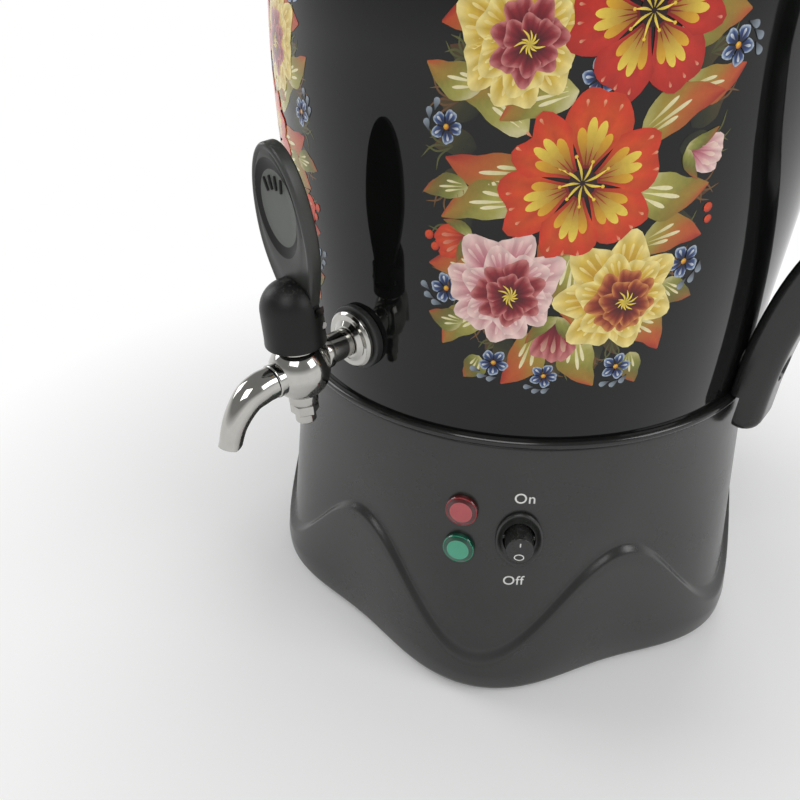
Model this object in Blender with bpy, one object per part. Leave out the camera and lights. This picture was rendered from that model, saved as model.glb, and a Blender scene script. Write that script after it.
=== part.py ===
"""Electric samovar: a water tank on a lobed plastic base, with a lever tap, two side handles and a lid.

Units are metres. Z is up and z = 0 is the table. The tap points to -Y and the handles lie along X.
An azimuth is measured in degrees from -Y towards +X, so the control panel stands at about +30.
"""
import math

import bmesh
import bpy
from mathutils import Matrix, Vector

# Fits
CLEARANCE = 0.0003
SHEET = 0.0010

# Main sizes
FOOT_HEIGHT = 0.0025
BASE_HEIGHT = 0.1230
TANK_RADIUS = 0.1072
TANK_HEIGHT = 0.1885

# Base housing: a flared skirt with lobes and a wavy ledge
BASE_TOP_STEP = 0.0008
BASE_FLARE = 0.0150
LOBE_COUNT = 6
LOBE_DEPTH = 0.0060
LOBE_AZIMUTH = 30.0
LEDGE_STEP = 0.0030
LEDGE_RISE = 0.0040
WAVE_MIDDLE = 0.0480
WAVE_SWING = 0.0250
BASE_WALL = 0.0026
BASE_CORNER = 0.0100
BASE_EDGE = 0.0015
BASE_FLANGE = 0.0100

# Bottom cover, its screws and the rubber feet
COVER_THICKNESS = 0.0020
COVER_PAD_RADIUS = 0.0240
COVER_PAD_DROP = 0.0005
VENT_COUNT = 8
VENT_LENGTH = 0.0300
VENT_WIDTH = 0.0040
VENT_RADIUS = 0.0600
FOOT_INSET = 0.0080
FOOT_RADIUS = 0.0080
FOOT_PLUG_RADIUS = 0.0027
BOSS_GAP = 0.0008
BOSS_RADIUS = 0.0050
BOSS_HEIGHT = 0.0600
COVER_SCREW_RADIUS = 0.0016
COVER_SCREW_HEAD = 0.0034
COVER_SCREW_LENGTH = 0.0140

# Seam ring between base and tank
SEAM_PROUD = 0.0028
SEAM_BEAD = 0.0017
SEAM_DEPTH = 0.0085
SEAM_STEP = 0.0020

# Tank
SHOULDER_HEIGHT = 0.0900
SHOULDER_POWER = 2.6
SHOULDER_ROUND = 0.6
MOUTH_RADIUS = 0.0840
NECK_HEIGHT = 0.0030
TANK_FLANGE = 0.0060
FLOOR_HEIGHT = 0.0080
FLOOR_SKIRT = 0.0050
HEATER_PLATE_RADIUS = 0.0700
HEATER_PLATE_THICKNESS = 0.0040
HEATER_RING_RADIUS = 0.0520
HEATER_TUBE_RADIUS = 0.0040
HEATER_SWEEP = 310.0
HEATER_TAIL = 0.0140
THERMOSTAT_RADIUS = 0.0085
THERMOSTAT_HEIGHT = 0.0110
THERMOSTAT_OFFSET = 0.0260
FUSE_RADIUS = 0.0030
FUSE_LENGTH = 0.0180
FUSE_OFFSET = 0.0300

# Mouth rim, lid and teapot stand
RIM_HEIGHT = 0.0070
RIM_INNER = 0.0800
RIM_OUTER = 0.0910
LID_RADIUS = 0.0880
LID_SHEET = 0.0020
LID_RISE = 0.0100
LID_TERRACE_INNER = 0.0500
LID_TERRACE_OUTER = 0.0760
LID_CROWN_RISE = 0.0060
LID_SEAT_RADIUS = 0.0340
LID_SEAT_RISE = 0.0012
LID_SKIRT_DEPTH = 0.0120
LID_SKIRT_RADIUS = 0.0765
LID_GASKET_WIDTH = 0.0026
LID_GASKET_HEIGHT = 0.0050
STAND_RADIUS = 0.0440
STAND_HEIGHT = 0.0250
STAND_FLARE = 0.0060
STAND_WALL = 0.0030
STAND_SCALLOPS = 8
STAND_SCALLOP_DEPTH = 0.0060
KNOB_RADIUS = 0.0080
KNOB_HEIGHT = 0.0160
KNOB_CIRCLE = 0.0630
LID_LIFT = 0.0400

# Handles
HANDLE_WIDTH = 0.0180
HANDLE_THICKNESS = 0.0140
HANDLE_EDGE = 0.0035
HANDLE_TAIL_DROP = 0.0100
HANDLE_STAND_OFF = 0.0568
HANDLE_TOP_DROP = 0.0270
HANDLE_SCREW_RISE = 0.0135
HANDLE_SCREW_RADIUS = 0.0020
HANDLE_SCREW_HEAD = 0.0038
HANDLE_SCREW_SINK = 0.0030
WELD_BOSS_RADIUS = 0.0045
WELD_BOSS_LENGTH = 0.0060
BRACKET_WIDTH = 0.0120
BRACKET_THICKNESS = 0.0016
BRACKET_STAND_OFF = 0.0128
BRACKET_SCREW_STAND_OFF = 0.0058

# Tap
TAP_RISE = 0.0195
TAP_STAND_OFF = 0.0288
TAP_GASKET_RADIUS = 0.0125
TAP_GASKET_THICKNESS = 0.0028
TAP_FLANGE_RADIUS = 0.0110
TAP_FLANGE_THICKNESS = 0.0022
TAP_FLANGE_DISH = 0.0016
SHANK_RADIUS = 0.0048
SHANK_INSIDE = 0.0150
SHANK_RING_RADIUS = 0.0062
SHANK_RING_LENGTH = 0.0050
LOCKNUT_FLAT = 0.0160
LOCKNUT_THICKNESS = 0.0050
INNER_WASHER_RADIUS = 0.0100
INNER_WASHER_THICKNESS = 0.0020
BALL_RADIUS = 0.0110
BALL_DROP = 0.0020
NECK_RADIUS = 0.0070
NECK_THREAD_RADIUS = 0.0079
TAP_NECK_TOP = 0.0115
CHAMBER_RADIUS = 0.0054
CHAMBER_FLOOR = 0.0030
BORE_RADIUS = 0.0027
OUTLET_RADIUS = 0.0022
PLUG_BOSS_RADIUS = 0.0054
PLUG_BOSS_DEPTH = 0.0130
PLUG_FLAT = 0.0090
PLUG_HEX_HEIGHT = 0.0045
PLUG_RING_RADIUS = 0.0039
PLUG_RING_HEIGHT = 0.0042
PLUG_STUD_RADIUS = 0.0030
PLUG_STUD_LENGTH = 0.0040
SPOUT_START_RADIUS = 0.0052
SPOUT_TIP_RADIUS = 0.0042
SPOUT_REACH = 0.0320
SPOUT_DROP = 0.0165
SPOUT_COLLAR_RADIUS = 0.0064
SPOUT_COLLAR_LENGTH = 0.0030
SPOUT_CUT = 12.0

# Bonnet, lever and valve
BONNET_RADIUS = 0.0105
BONNET_HEIGHT = 0.0230
BONNET_START = 0.0085
BONNET_WALL = 0.0023
PIVOT_OFFSET = 0.0065
PIVOT_RISE = 0.0150
PIN_RADIUS = 0.0012
PIN_LENGTH = 0.0160
LEVER_LEAN = 5.0
LEVER_LENGTH = 0.0520
LEVER_WIDTH = 0.0250
LEVER_NECK = 0.0150
LEVER_THICKNESS = 0.0050
LEVER_ROOT_WIDTH = 0.0094
LEVER_FRONT = 0.0045
ROOT_RADIUS = 0.0026
ROOT_PLAY = 0.0005
BLADE_RISE = 0.0062
BLADE_PLAY = 0.0010
PRONG_GAP = 0.0048
PRONG_HEIGHT = 0.0024
LEVER_EDGE = 0.0011
PAD_WIDTH = 0.0170
PAD_LENGTH = 0.0275
PAD_DEPTH = 0.0010
PAD_CENTRE = 0.0300
STEM_RADIUS = 0.0020
STEM_HEAD_RADIUS = 0.0032
STEM_HEAD_HEIGHT = 0.0016
SEAL_RADIUS = 0.0046
SEAL_HEIGHT = 0.0036
GUIDE_HEIGHT = 0.0030
SPRING_RADIUS = 0.0036
SPRING_WIRE = 0.0004
SPRING_TURNS = 4

# Control panel
LAMP_AZIMUTH = 25.4
RED_LAMP_HEIGHT = 0.0959
GREEN_LAMP_HEIGHT = 0.0781
LENS_COLLAR = 0.0065
LENS_EDGE = 0.0007
LENS_STAND = 0.0030
LENS_SHANK = 0.0048
LENS_DEPTH = 0.0080
LAMP_HOLDER_LENGTH = 0.0140
SWITCH_AZIMUTH = 37.0
SWITCH_HEIGHT = 0.0853
BEZEL_HALF_WIDTH = 0.0093
BEZEL_HALF_HEIGHT = 0.0127
BEZEL_STAND = 0.0018
SWITCH_DEPTH = 0.0150
SWITCH_WALL = 0.0012
ROCKER_HALF_WIDTH = 0.0058
ROCKER_HALF_HEIGHT = 0.0070
ROCKER_STAND = 0.0065
ROCKER_BELOW = 0.0065
ROCKER_TAPER = 0.0005
ROCKER_EDGE = 0.0006
ROCKER_PIVOT_DEPTH = 0.0015
ROCKER_THROW = 18.0
ROCKER_PLAY = 0.0006

# Mains inlet at the back
INLET_HEIGHT = 0.0450
INLET_PROUD = 0.0026
INLET_WIDTH = 0.0270
INLET_TALL = 0.0196
INLET_DEPTH = 0.0200
INLET_FLANGE = 0.0025
INLET_FLANGE_THICKNESS = 0.0022
INLET_WALL = 0.0015
INLET_PIN_WIDTH = 0.0020
INLET_PIN_TALL = 0.0040
INLET_PIN_LENGTH = 0.0110
INLET_PIN_SPACING = 0.0140
INLET_PIN_OFFSET = 0.0020

# Facet counts
SKIRT_STEPS = 60
RING_STEPS = 36
STAND_STEPS = 48
SHOULDER_ROWS = 6
ROUND_STEPS = 16
SMALL_STEPS = 12
SCREW_STEPS = 8

# Reaches and levels that follow from the sizes above
BASE_TOP_RADIUS = TANK_RADIUS + BASE_TOP_STEP
SEAM_RADIUS = TANK_RADIUS + SEAM_PROUD
FOOT_CIRCLE = BASE_TOP_RADIUS - FOOT_INSET
TAP_REACH = TANK_RADIUS + TAP_STAND_OFF
HANDLE_REACH = TANK_RADIUS + HANDLE_STAND_OFF
BRACKET_REACH = TANK_RADIUS + BRACKET_STAND_OFF
BRACKET_SCREW_REACH = TANK_RADIUS + BRACKET_SCREW_STAND_OFF
SKIRT_TOP = FOOT_HEIGHT + BASE_HEIGHT
SEAM_LEVEL = SKIRT_TOP + CLEARANCE + SEAM_BEAD
TANK_BOTTOM = SEAM_LEVEL + SEAM_BEAD + CLEARANCE
TANK_TOP = TANK_BOTTOM + TANK_HEIGHT
FLOOR_LEVEL = TANK_BOTTOM + FLOOR_HEIGHT
TAP_HEIGHT = FLOOR_LEVEL + SHEET + TAP_RISE
HANDLE_SCREW_HEIGHT = TANK_BOTTOM + HANDLE_SCREW_RISE
HANDLE_TAIL_BOTTOM = SKIRT_TOP - HANDLE_TAIL_DROP
HANDLE_TOP = TANK_TOP - HANDLE_TOP_DROP
PLATE_TOP = FLOOR_LEVEL - CLEARANCE
PLATE_BOTTOM = PLATE_TOP - HEATER_PLATE_THICKNESS
RIM_BOTTOM = TANK_TOP + CLEARANCE
RIM_TOP = RIM_BOTTOM + RIM_HEIGHT
LID_BRIM = RIM_TOP + CLEARANCE
LID_TERRACE = LID_BRIM + LID_SHEET + LID_RISE
LID_TOP = LID_TERRACE + LID_CROWN_RISE
SCREW_LOBES = (30.0, 150.0, 270.0)

# Finishes: colour, roughness, metallic
BLACK_PLASTIC = ((0.040, 0.041, 0.038), 0.45, 0.0)
BLACK_ENAMEL = ((0.010, 0.010, 0.010), 0.10, 0.0)
BLACK_RUBBER = ((0.018, 0.018, 0.018), 0.80, 0.0)
CLEAR_SILICONE = ((0.70, 0.70, 0.66), 0.50, 0.0)
CHROME = ((0.80, 0.79, 0.76), 0.10, 1.0)
BRIGHT_STEEL = ((0.62, 0.61, 0.59), 0.28, 1.0)
ALUMINIUM = ((0.70, 0.70, 0.70), 0.38, 1.0)
BRASS = ((0.72, 0.55, 0.24), 0.30, 1.0)
PALE_PHENOLIC = ((0.55, 0.50, 0.40), 0.60, 0.0)
RED_LENS = ((0.55, 0.03, 0.04), 0.15, 0.0)
GREEN_LENS = ((0.01, 0.32, 0.20), 0.15, 0.0)


def clear_scene():
    """Start from an empty scene."""
    for item in list(bpy.data.objects):
        bpy.data.objects.remove(item, do_unlink=True)


def add_finish(item, finish):
    """Give an object its own Principled material."""
    colour, roughness, metallic = finish
    material = bpy.data.materials.new(item.name + "_finish")
    material.use_nodes = True
    shader = material.node_tree.nodes["Principled BSDF"]
    shader.inputs["Base Color"].default_value = (*colour, 1.0)
    shader.inputs["Roughness"].default_value = roughness
    shader.inputs["Metallic"].default_value = metallic
    material.diffuse_color = (*colour, 1.0)
    item.data.materials.append(material)


def add_object(name, shape, finish=None, frame=None):
    """Turn a bmesh into a smooth-shaded object with its faces pointing out."""
    bmesh.ops.remove_doubles(shape, verts=shape.verts, dist=1e-6)
    bmesh.ops.recalc_face_normals(shape, faces=shape.faces)
    mesh = bpy.data.meshes.new(name)
    shape.to_mesh(mesh)
    shape.free()
    mesh.shade_smooth()
    mesh.set_sharp_from_angle(angle=math.radians(35.0))
    item = bpy.data.objects.new(name, mesh)
    bpy.context.scene.collection.objects.link(item)
    if frame is not None:
        item.matrix_world = frame
    if finish is not None:
        add_finish(item, finish)
    return item


def combine(target, name, shape, operation, frame=None):
    """Add a tool shape to an object's join or cut; each is one Boolean with a collection of tools."""
    tool = add_object(f"{target.name}_{name}", shape, frame=frame)
    tool.hide_render = True
    tool.display_type = "WIRE"
    modifier = target.modifiers.get(operation)
    if modifier is None:
        modifier = target.modifiers.new(operation, "BOOLEAN")
        modifier.operation = operation
        modifier.solver = "EXACT"
        modifier.operand_type = "COLLECTION"
        modifier.collection = bpy.data.collections.new(f"{target.name}_{operation.lower()}")
    modifier.collection.objects.link(tool)


def cut(target, name, shape, frame=None):
    combine(target, name, shape, "DIFFERENCE", frame)


def join(target, name, shape, frame=None):
    combine(target, name, shape, "UNION", frame)


def bevel(item, width, segments):
    """Round the sharp edges of an object."""
    modifier = item.modifiers.new("rounded_edges", "BEVEL")
    modifier.width = width
    modifier.segments = segments
    modifier.limit_method = "ANGLE"
    modifier.angle_limit = math.radians(50.0)


def turned(profile, steps):
    """Turn (radius, height) points about Z: a ring, or a solid that starts and ends on the axis."""
    shape = bmesh.new()
    verts = [shape.verts.new((radius, 0.0, height)) for radius, height in profile]
    pairs = list(zip(verts, verts[1:]))
    if profile[0][0] > 0.0:
        pairs.append((verts[-1], verts[0]))
    edges = [shape.edges.new(pair) for pair in pairs]
    bmesh.ops.spin(shape, geom=verts + edges, axis=(0.0, 0.0, 1.0), cent=(0.0, 0.0, 0.0),
                   angle=math.tau, steps=steps, use_merge=True)
    return shape


def lofted(sections, closed=False):
    """Bridge equal loops of points, with caps on the ends unless the loops close on themselves."""
    shape = bmesh.new()
    loops = [[shape.verts.new(point) for point in section] for section in sections]
    spans = list(zip(loops, loops[1:]))
    if closed:
        spans.append((loops[-1], loops[0]))
    else:
        shape.faces.new(loops[0])
        shape.faces.new(loops[-1])
    for near, far in spans:
        for index in range(len(near)):
            after = (index + 1) % len(near)
            shape.faces.new((near[index], near[after], far[after], far[index]))
    return shape


def prism(outline, low, high):
    """Extrude an (x, y) outline along Z."""
    return lofted([[(x, y, level) for x, y in outline] for level in (low, high)])


def cylinder(radius, low, high, steps=SMALL_STEPS):
    return turned([(0.0, high), (radius, high), (radius, low), (0.0, low)], steps)


def tube(inner, outer, low, high, steps=ROUND_STEPS):
    return turned([(outer, high), (outer, low), (inner, low), (inner, high)], steps)


def box(low, high):
    """A box between two corners."""
    outline = [(low[0], low[1]), (high[0], low[1]), (high[0], high[1]), (low[0], high[1])]
    return prism(outline, low[2], high[2])


def gather(shapes):
    """Put several shapes that stand apart into one bmesh, for a tool that cuts in many places."""
    whole = bmesh.new()
    for shape, frame in shapes:
        part = bpy.data.meshes.new("part")
        bmesh.ops.remove_doubles(shape, verts=shape.verts, dist=1e-6)
        shape.transform(frame)
        shape.to_mesh(part)
        shape.free()
        whole.from_mesh(part)
        bpy.data.meshes.remove(part)
    return whole


def polar(azimuth, radius, height):
    """A point at an azimuth in degrees from -Y towards +X."""
    angle = math.radians(azimuth)
    return Vector((radius * math.sin(angle), -radius * math.cos(angle), height))


def placed(origin, across, up):
    """A frame with x across, y up and z along their cross product."""
    out = across.cross(up)
    frame = Matrix((across, up, out)).transposed().to_4x4()
    frame.translation = origin
    return frame


def upright(point):
    """A frame at a point with world axes."""
    return Matrix.Translation(point)


def pointing_out(height, reach):
    """A frame on the tap's side, with z along -Y, the way the tap points."""
    return placed(Vector((0.0, -reach, height)), Vector((1.0, 0.0, 0.0)), Vector((0.0, 0.0, 1.0)))


def ellipse(half_width, half_height, level, steps=ROUND_STEPS):
    turns = [math.tau * index / steps for index in range(steps)]
    return [(half_width * math.cos(turn), half_height * math.sin(turn), level) for turn in turns]


def hexagon(across_flats):
    radius = across_flats / math.sqrt(3.0)
    turns = [math.tau * side / 6 for side in range(6)]
    return [(radius * math.cos(turn), radius * math.sin(turn)) for turn in turns]


def smooth_path(points, spans):
    """Points along a Catmull-Rom curve through the given ones."""
    ends = [2 * points[0] - points[1], *points, 2 * points[-1] - points[-2]]
    path = []
    for before, start, end, after in zip(ends, ends[1:], ends[2:], ends[3:]):
        for step in range(spans):
            t = step / spans
            path.append(0.5 * (2 * start + (end - before) * t
                               + (2 * before - 5 * start + 4 * end - after) * t ** 2
                               + (3 * start - before - 3 * end + after) * t ** 3))
    path.append(points[-1])
    return path


def directions(path):
    """Unit tangents along a path."""
    ends = [path[0], *path, path[-1]]
    return [(after - before).normalized() for before, after in zip(ends, ends[2:])]


def rings_along(path, radii, side, steps):
    """Circles of points square to a path that lies in, or winds round, the direction side."""
    rings = []
    for point, along, radius in zip(path, directions(path), radii):
        across = along.cross(side).normalized()
        up = across.cross(along)
        turns = [math.tau * index / steps for index in range(steps)]
        rings.append([point + radius * (math.cos(turn) * across + math.sin(turn) * up) for turn in turns])
    return rings


# Shapes shared by several pieces

def lobe(azimuth):
    """How far a lobe stands out at the skirt's foot."""
    return LOBE_DEPTH * math.cos(math.radians(LOBE_COUNT * (azimuth - LOBE_AZIMUTH)))


def skirt_radius(azimuth, height):
    """Radius of the skirt above the ledge."""
    return BASE_TOP_RADIUS + (SKIRT_TOP - height) / BASE_HEIGHT * (BASE_FLARE + lobe(azimuth))


def wave_level(azimuth):
    """Height of the wavy ledge: low on the lobes and high between them."""
    return WAVE_MIDDLE - WAVE_SWING * lobe(azimuth) / LOBE_DEPTH


def lip_radius(azimuth):
    """Radius of the housing's lower edge, where its rounded corner ends and the cover begins."""
    return skirt_radius(azimuth, FOOT_HEIGHT + BASE_CORNER) + LEDGE_STEP - BASE_CORNER


def boss_circle():
    """Where the cover's screw bosses stand, just inside the housing's lower edge."""
    return lip_radius(LOBE_AZIMUTH) - BOSS_RADIUS - BOSS_GAP


def inlet_seat():
    """How far back the flat pad for the mains inlet stands, just proud of the housing's back."""
    return skirt_radius(180.0, INLET_HEIGHT) + LEDGE_STEP + INLET_PROUD


def on_skirt(azimuth, height):
    """A frame on the skirt above the ledge: x across, y up the wall, z outwards."""
    angle = math.radians(azimuth)
    rise = math.atan((BASE_FLARE + lobe(azimuth)) / BASE_HEIGHT)
    across = Vector((math.cos(angle), math.sin(angle), 0.0))
    up = Vector((-math.sin(angle) * math.sin(rise), math.cos(angle) * math.sin(rise), math.cos(rise)))
    return placed(polar(azimuth, skirt_radius(azimuth, height), height), across, up)


def shoulder_radius(height):
    """Radius of the tank: a straight wall, then a full round shoulder up to the mouth."""
    rise = (height - (TANK_TOP - NECK_HEIGHT - SHOULDER_HEIGHT)) / SHOULDER_HEIGHT
    rise = min(max(rise, 0.0), 1.0)
    return MOUTH_RADIUS + (TANK_RADIUS - MOUTH_RADIUS) * (1.0 - rise ** SHOULDER_POWER) ** SHOULDER_ROUND


def tank_profile(offset):
    """The tank's side from bottom to mouth, moved out by an offset."""
    start = TANK_TOP - NECK_HEIGHT - SHOULDER_HEIGHT
    rises = [math.sin(math.pi / 2 * step / SHOULDER_ROWS) for step in range(SHOULDER_ROWS + 1)]
    levels = [TANK_BOTTOM] + [start + SHOULDER_HEIGHT * rise for rise in rises] + [TANK_TOP]
    points = [Vector((shoulder_radius(level), level)) for level in levels]
    moved = []
    for point, along in zip(points, directions(points)):
        moved.append(point + offset * Vector((along.y, -along.x)))
    moved[0].y = TANK_BOTTOM
    moved[-1] = Vector((MOUTH_RADIUS + offset, TANK_TOP))
    return [(point.x, point.y) for point in moved]


def tank_envelope():
    """A solid that keeps pieces on the outside clear of the tank, the seam ring and the base's top."""
    step = SEAM_RADIUS + SEAM_STEP
    profile = tank_profile(CLEARANCE)
    low = TANK_BOTTOM - TANK_HEIGHT / 2
    side = [(radius, level) for radius, level in reversed(profile)]
    top = side[0]
    return turned([(0.0, top[1]), *side[:-1], (side[-1][0], TANK_BOTTOM + CLEARANCE),
                   (step, TANK_BOTTOM + CLEARANCE), (step, low), (0.0, low)], RING_STEPS)


# Base

def base_section(azimuth):
    """The housing's wall at one azimuth, as a closed loop of (radius, height) points."""
    wave = wave_level(azimuth)
    corner_top = FOOT_HEIGHT + BASE_CORNER
    levels = [(SKIRT_TOP - BASE_EDGE, 0.0), (wave + LEDGE_RISE / 2, 0.0),
              (wave - LEDGE_RISE / 2, LEDGE_STEP), (corner_top, LEDGE_STEP)]
    outer = [(skirt_radius(azimuth, level) + step, level) for level, step in levels]
    inner = [(radius - BASE_WALL, level) for radius, level in outer]
    centre = lip_radius(azimuth)
    bend = BASE_CORNER - BASE_WALL
    turns = [math.pi / 4, math.pi / 2]
    corner = [(centre + BASE_CORNER * math.cos(t), corner_top - BASE_CORNER * math.sin(t)) for t in turns]
    hollow = [(centre + bend * math.cos(t), corner_top - bend * math.sin(t)) for t in reversed(turns)]
    flange = BASE_TOP_RADIUS - BASE_FLANGE
    under = SKIRT_TOP - BASE_WALL
    return [(flange, SKIRT_TOP), (outer[0][0] - BASE_EDGE, SKIRT_TOP), *outer, *corner, *hollow,
            *reversed(inner[1:]), (inner[0][0], under), (flange, under)]


def build_base_housing():
    sections = []
    for index in range(SKIRT_STEPS):
        azimuth = 360.0 * index / SKIRT_STEPS
        sections.append([polar(azimuth, radius, level) for radius, level in base_section(azimuth)])
    shape = lofted(sections, closed=True)
    bmesh.ops.triangulate(shape, faces=shape.faces)
    base = add_object("base_housing", shape, BLACK_PLASTIC)
    seat = FOOT_HEIGHT + COVER_THICKNESS + CLEARANCE
    for number, azimuth in enumerate(SCREW_LOBES):
        spot = upright(polar(azimuth, boss_circle(), 0.0))
        join(base, f"boss_{number}", cylinder(BOSS_RADIUS, seat, BOSS_HEIGHT), spot)
        pilot = COVER_SCREW_RADIUS + CLEARANCE
        depth = FOOT_HEIGHT + COVER_SCREW_LENGTH + CLEARANCE
        cut(base, f"pilot_{number}", cylinder(pilot, 0.0, depth), spot)
    half_width = INLET_WIDTH / 2 + INLET_FLANGE + CLEARANCE
    half_tall = INLET_TALL / 2 + INLET_FLANGE + CLEARANCE
    pad_depth = skirt_radius(180.0, INLET_HEIGHT + half_tall) - BASE_WALL / 2
    pad = box((-half_width, pad_depth - BASE_WALL, INLET_HEIGHT - half_tall),
              (half_width, inlet_seat(), INLET_HEIGHT + half_tall))
    join(base, "inlet_pad", pad)
    half_width = INLET_WIDTH / 2 + CLEARANCE
    half_tall = INLET_TALL / 2 + CLEARANCE
    hole = box((-half_width, inlet_seat() - INLET_DEPTH, INLET_HEIGHT - half_tall),
               (half_width, inlet_seat() + INLET_DEPTH, INLET_HEIGHT + half_tall))
    cut(base, "inlet_hole", hole)
    for name, height in (("red", RED_LAMP_HEIGHT), ("green", GREEN_LAMP_HEIGHT)):
        hole = cylinder(LENS_SHANK + CLEARANCE, -LENS_DEPTH, LENS_DEPTH)
        cut(base, f"{name}_lamp_hole", hole, on_skirt(LAMP_AZIMUTH, height))
    sections = [ellipse(*switch_body(CLEARANCE), level) for level in (-SWITCH_DEPTH, SWITCH_DEPTH)]
    cut(base, "switch_hole", lofted(sections), on_skirt(SWITCH_AZIMUTH, SWITCH_HEIGHT))


def build_bottom_cover():
    outline = []
    for index in range(SKIRT_STEPS):
        azimuth = 360.0 * index / SKIRT_STEPS
        point = polar(azimuth, lip_radius(azimuth) - CLEARANCE, 0.0)
        outline.append((point.x, point.y))
    top = FOOT_HEIGHT + COVER_THICKNESS
    cover = add_object("bottom_cover", prism(outline, FOOT_HEIGHT, top), BLACK_PLASTIC)
    pad_low = FOOT_HEIGHT - COVER_PAD_DROP
    join(cover, "pad", cylinder(COVER_PAD_RADIUS, pad_low, top - COVER_THICKNESS / 2, ROUND_STEPS))
    holes = []
    for number in range(LOBE_COUNT):
        azimuth = LOBE_AZIMUTH + 360.0 * number / LOBE_COUNT
        hole = cylinder(FOOT_PLUG_RADIUS + CLEARANCE, 0.0, 2 * top)
        holes.append((hole, upright(polar(azimuth, FOOT_CIRCLE, 0.0))))
    for azimuth in SCREW_LOBES:
        hole = cylinder(COVER_SCREW_RADIUS + CLEARANCE, 0.0, 2 * top)
        holes.append((hole, upright(polar(azimuth, boss_circle(), 0.0))))
    for number in range(VENT_COUNT):
        slot = box((-VENT_WIDTH / 2, VENT_RADIUS - VENT_LENGTH / 2, 0.0),
                   (VENT_WIDTH / 2, VENT_RADIUS + VENT_LENGTH / 2, 2 * top))
        holes.append((slot, Matrix.Rotation(math.tau * number / VENT_COUNT, 4, "Z")))
    cut(cover, "holes", gather(holes))


def build_feet_and_cover_screws():
    for number in range(LOBE_COUNT):
        azimuth = LOBE_AZIMUTH + 360.0 * number / LOBE_COUNT
        pad_top = FOOT_HEIGHT - CLEARANCE
        plug_top = FOOT_HEIGHT + COVER_THICKNESS
        profile = [(0.0, plug_top), (FOOT_PLUG_RADIUS, plug_top), (FOOT_PLUG_RADIUS, pad_top),
                   (FOOT_RADIUS, pad_top), (0.9 * FOOT_RADIUS, 0.0), (0.0, 0.0)]
        spot = upright(polar(azimuth, FOOT_CIRCLE, 0.0))
        add_object(f"foot_{number + 1}", turned(profile, SMALL_STEPS), BLACK_RUBBER, spot)
    for number, azimuth in enumerate(SCREW_LOBES):
        head_top = FOOT_HEIGHT - CLEARANCE
        tip = FOOT_HEIGHT + COVER_SCREW_LENGTH
        profile = [(0.0, tip), (COVER_SCREW_RADIUS / 2, tip), (COVER_SCREW_RADIUS, tip - COVER_SCREW_RADIUS),
                   (COVER_SCREW_RADIUS, head_top), (COVER_SCREW_HEAD, head_top),
                   (0.7 * COVER_SCREW_HEAD, head_top / 3), (0.0, head_top / 3)]
        spot = upright(polar(azimuth, boss_circle(), 0.0))
        add_object(f"cover_screw_{number + 1}", turned(profile, SCREW_STEPS), BRIGHT_STEEL, spot)


def build_seam_ring():
    bead = SEAM_RADIUS - SEAM_BEAD
    turns = [math.pi / 2 - math.pi * step / 4 for step in range(5)]
    profile = [(bead + SEAM_BEAD * math.cos(t), SEAM_LEVEL + SEAM_BEAD * math.sin(t)) for t in turns]
    inner = SEAM_RADIUS - SEAM_DEPTH
    profile += [(inner, SEAM_LEVEL - SEAM_BEAD), (inner, SEAM_LEVEL + SEAM_BEAD)]
    add_object("seam_ring", turned(profile, RING_STEPS), BLACK_RUBBER)


# Tank and heater

def build_body_shell():
    outer = tank_profile(0.0)
    inner = tank_profile(-SHEET)
    foot = TANK_BOTTOM + SHEET
    profile = [*reversed(outer), (TANK_RADIUS - TANK_FLANGE, TANK_BOTTOM), (TANK_RADIUS - TANK_FLANGE, foot),
               (inner[0][0], foot), *inner[1:]]
    shell = add_object("body_shell", turned(profile, RING_STEPS), BLACK_ENAMEL)
    hole = cylinder(SHANK_RADIUS + CLEARANCE, -SHANK_INSIDE, SHANK_INSIDE)
    cut(shell, "tap_hole", hole, pointing_out(TAP_HEIGHT, TANK_RADIUS))


def build_tank_floor():
    radius = TANK_RADIUS - SHEET - CLEARANCE
    low = max(FLOOR_LEVEL - FLOOR_SKIRT, TANK_BOTTOM + SHEET + CLEARANCE)
    top = FLOOR_LEVEL + SHEET
    bend = radius - 2 * SHEET
    profile = [(0.0, top), (bend, top), (radius, top - 2 * SHEET), (radius, low), (radius - SHEET, low),
               (radius - SHEET, FLOOR_LEVEL - SHEET), (bend, FLOOR_LEVEL), (0.0, FLOOR_LEVEL)]
    add_object("tank_floor", turned(profile, RING_STEPS), BRIGHT_STEEL)


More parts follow.
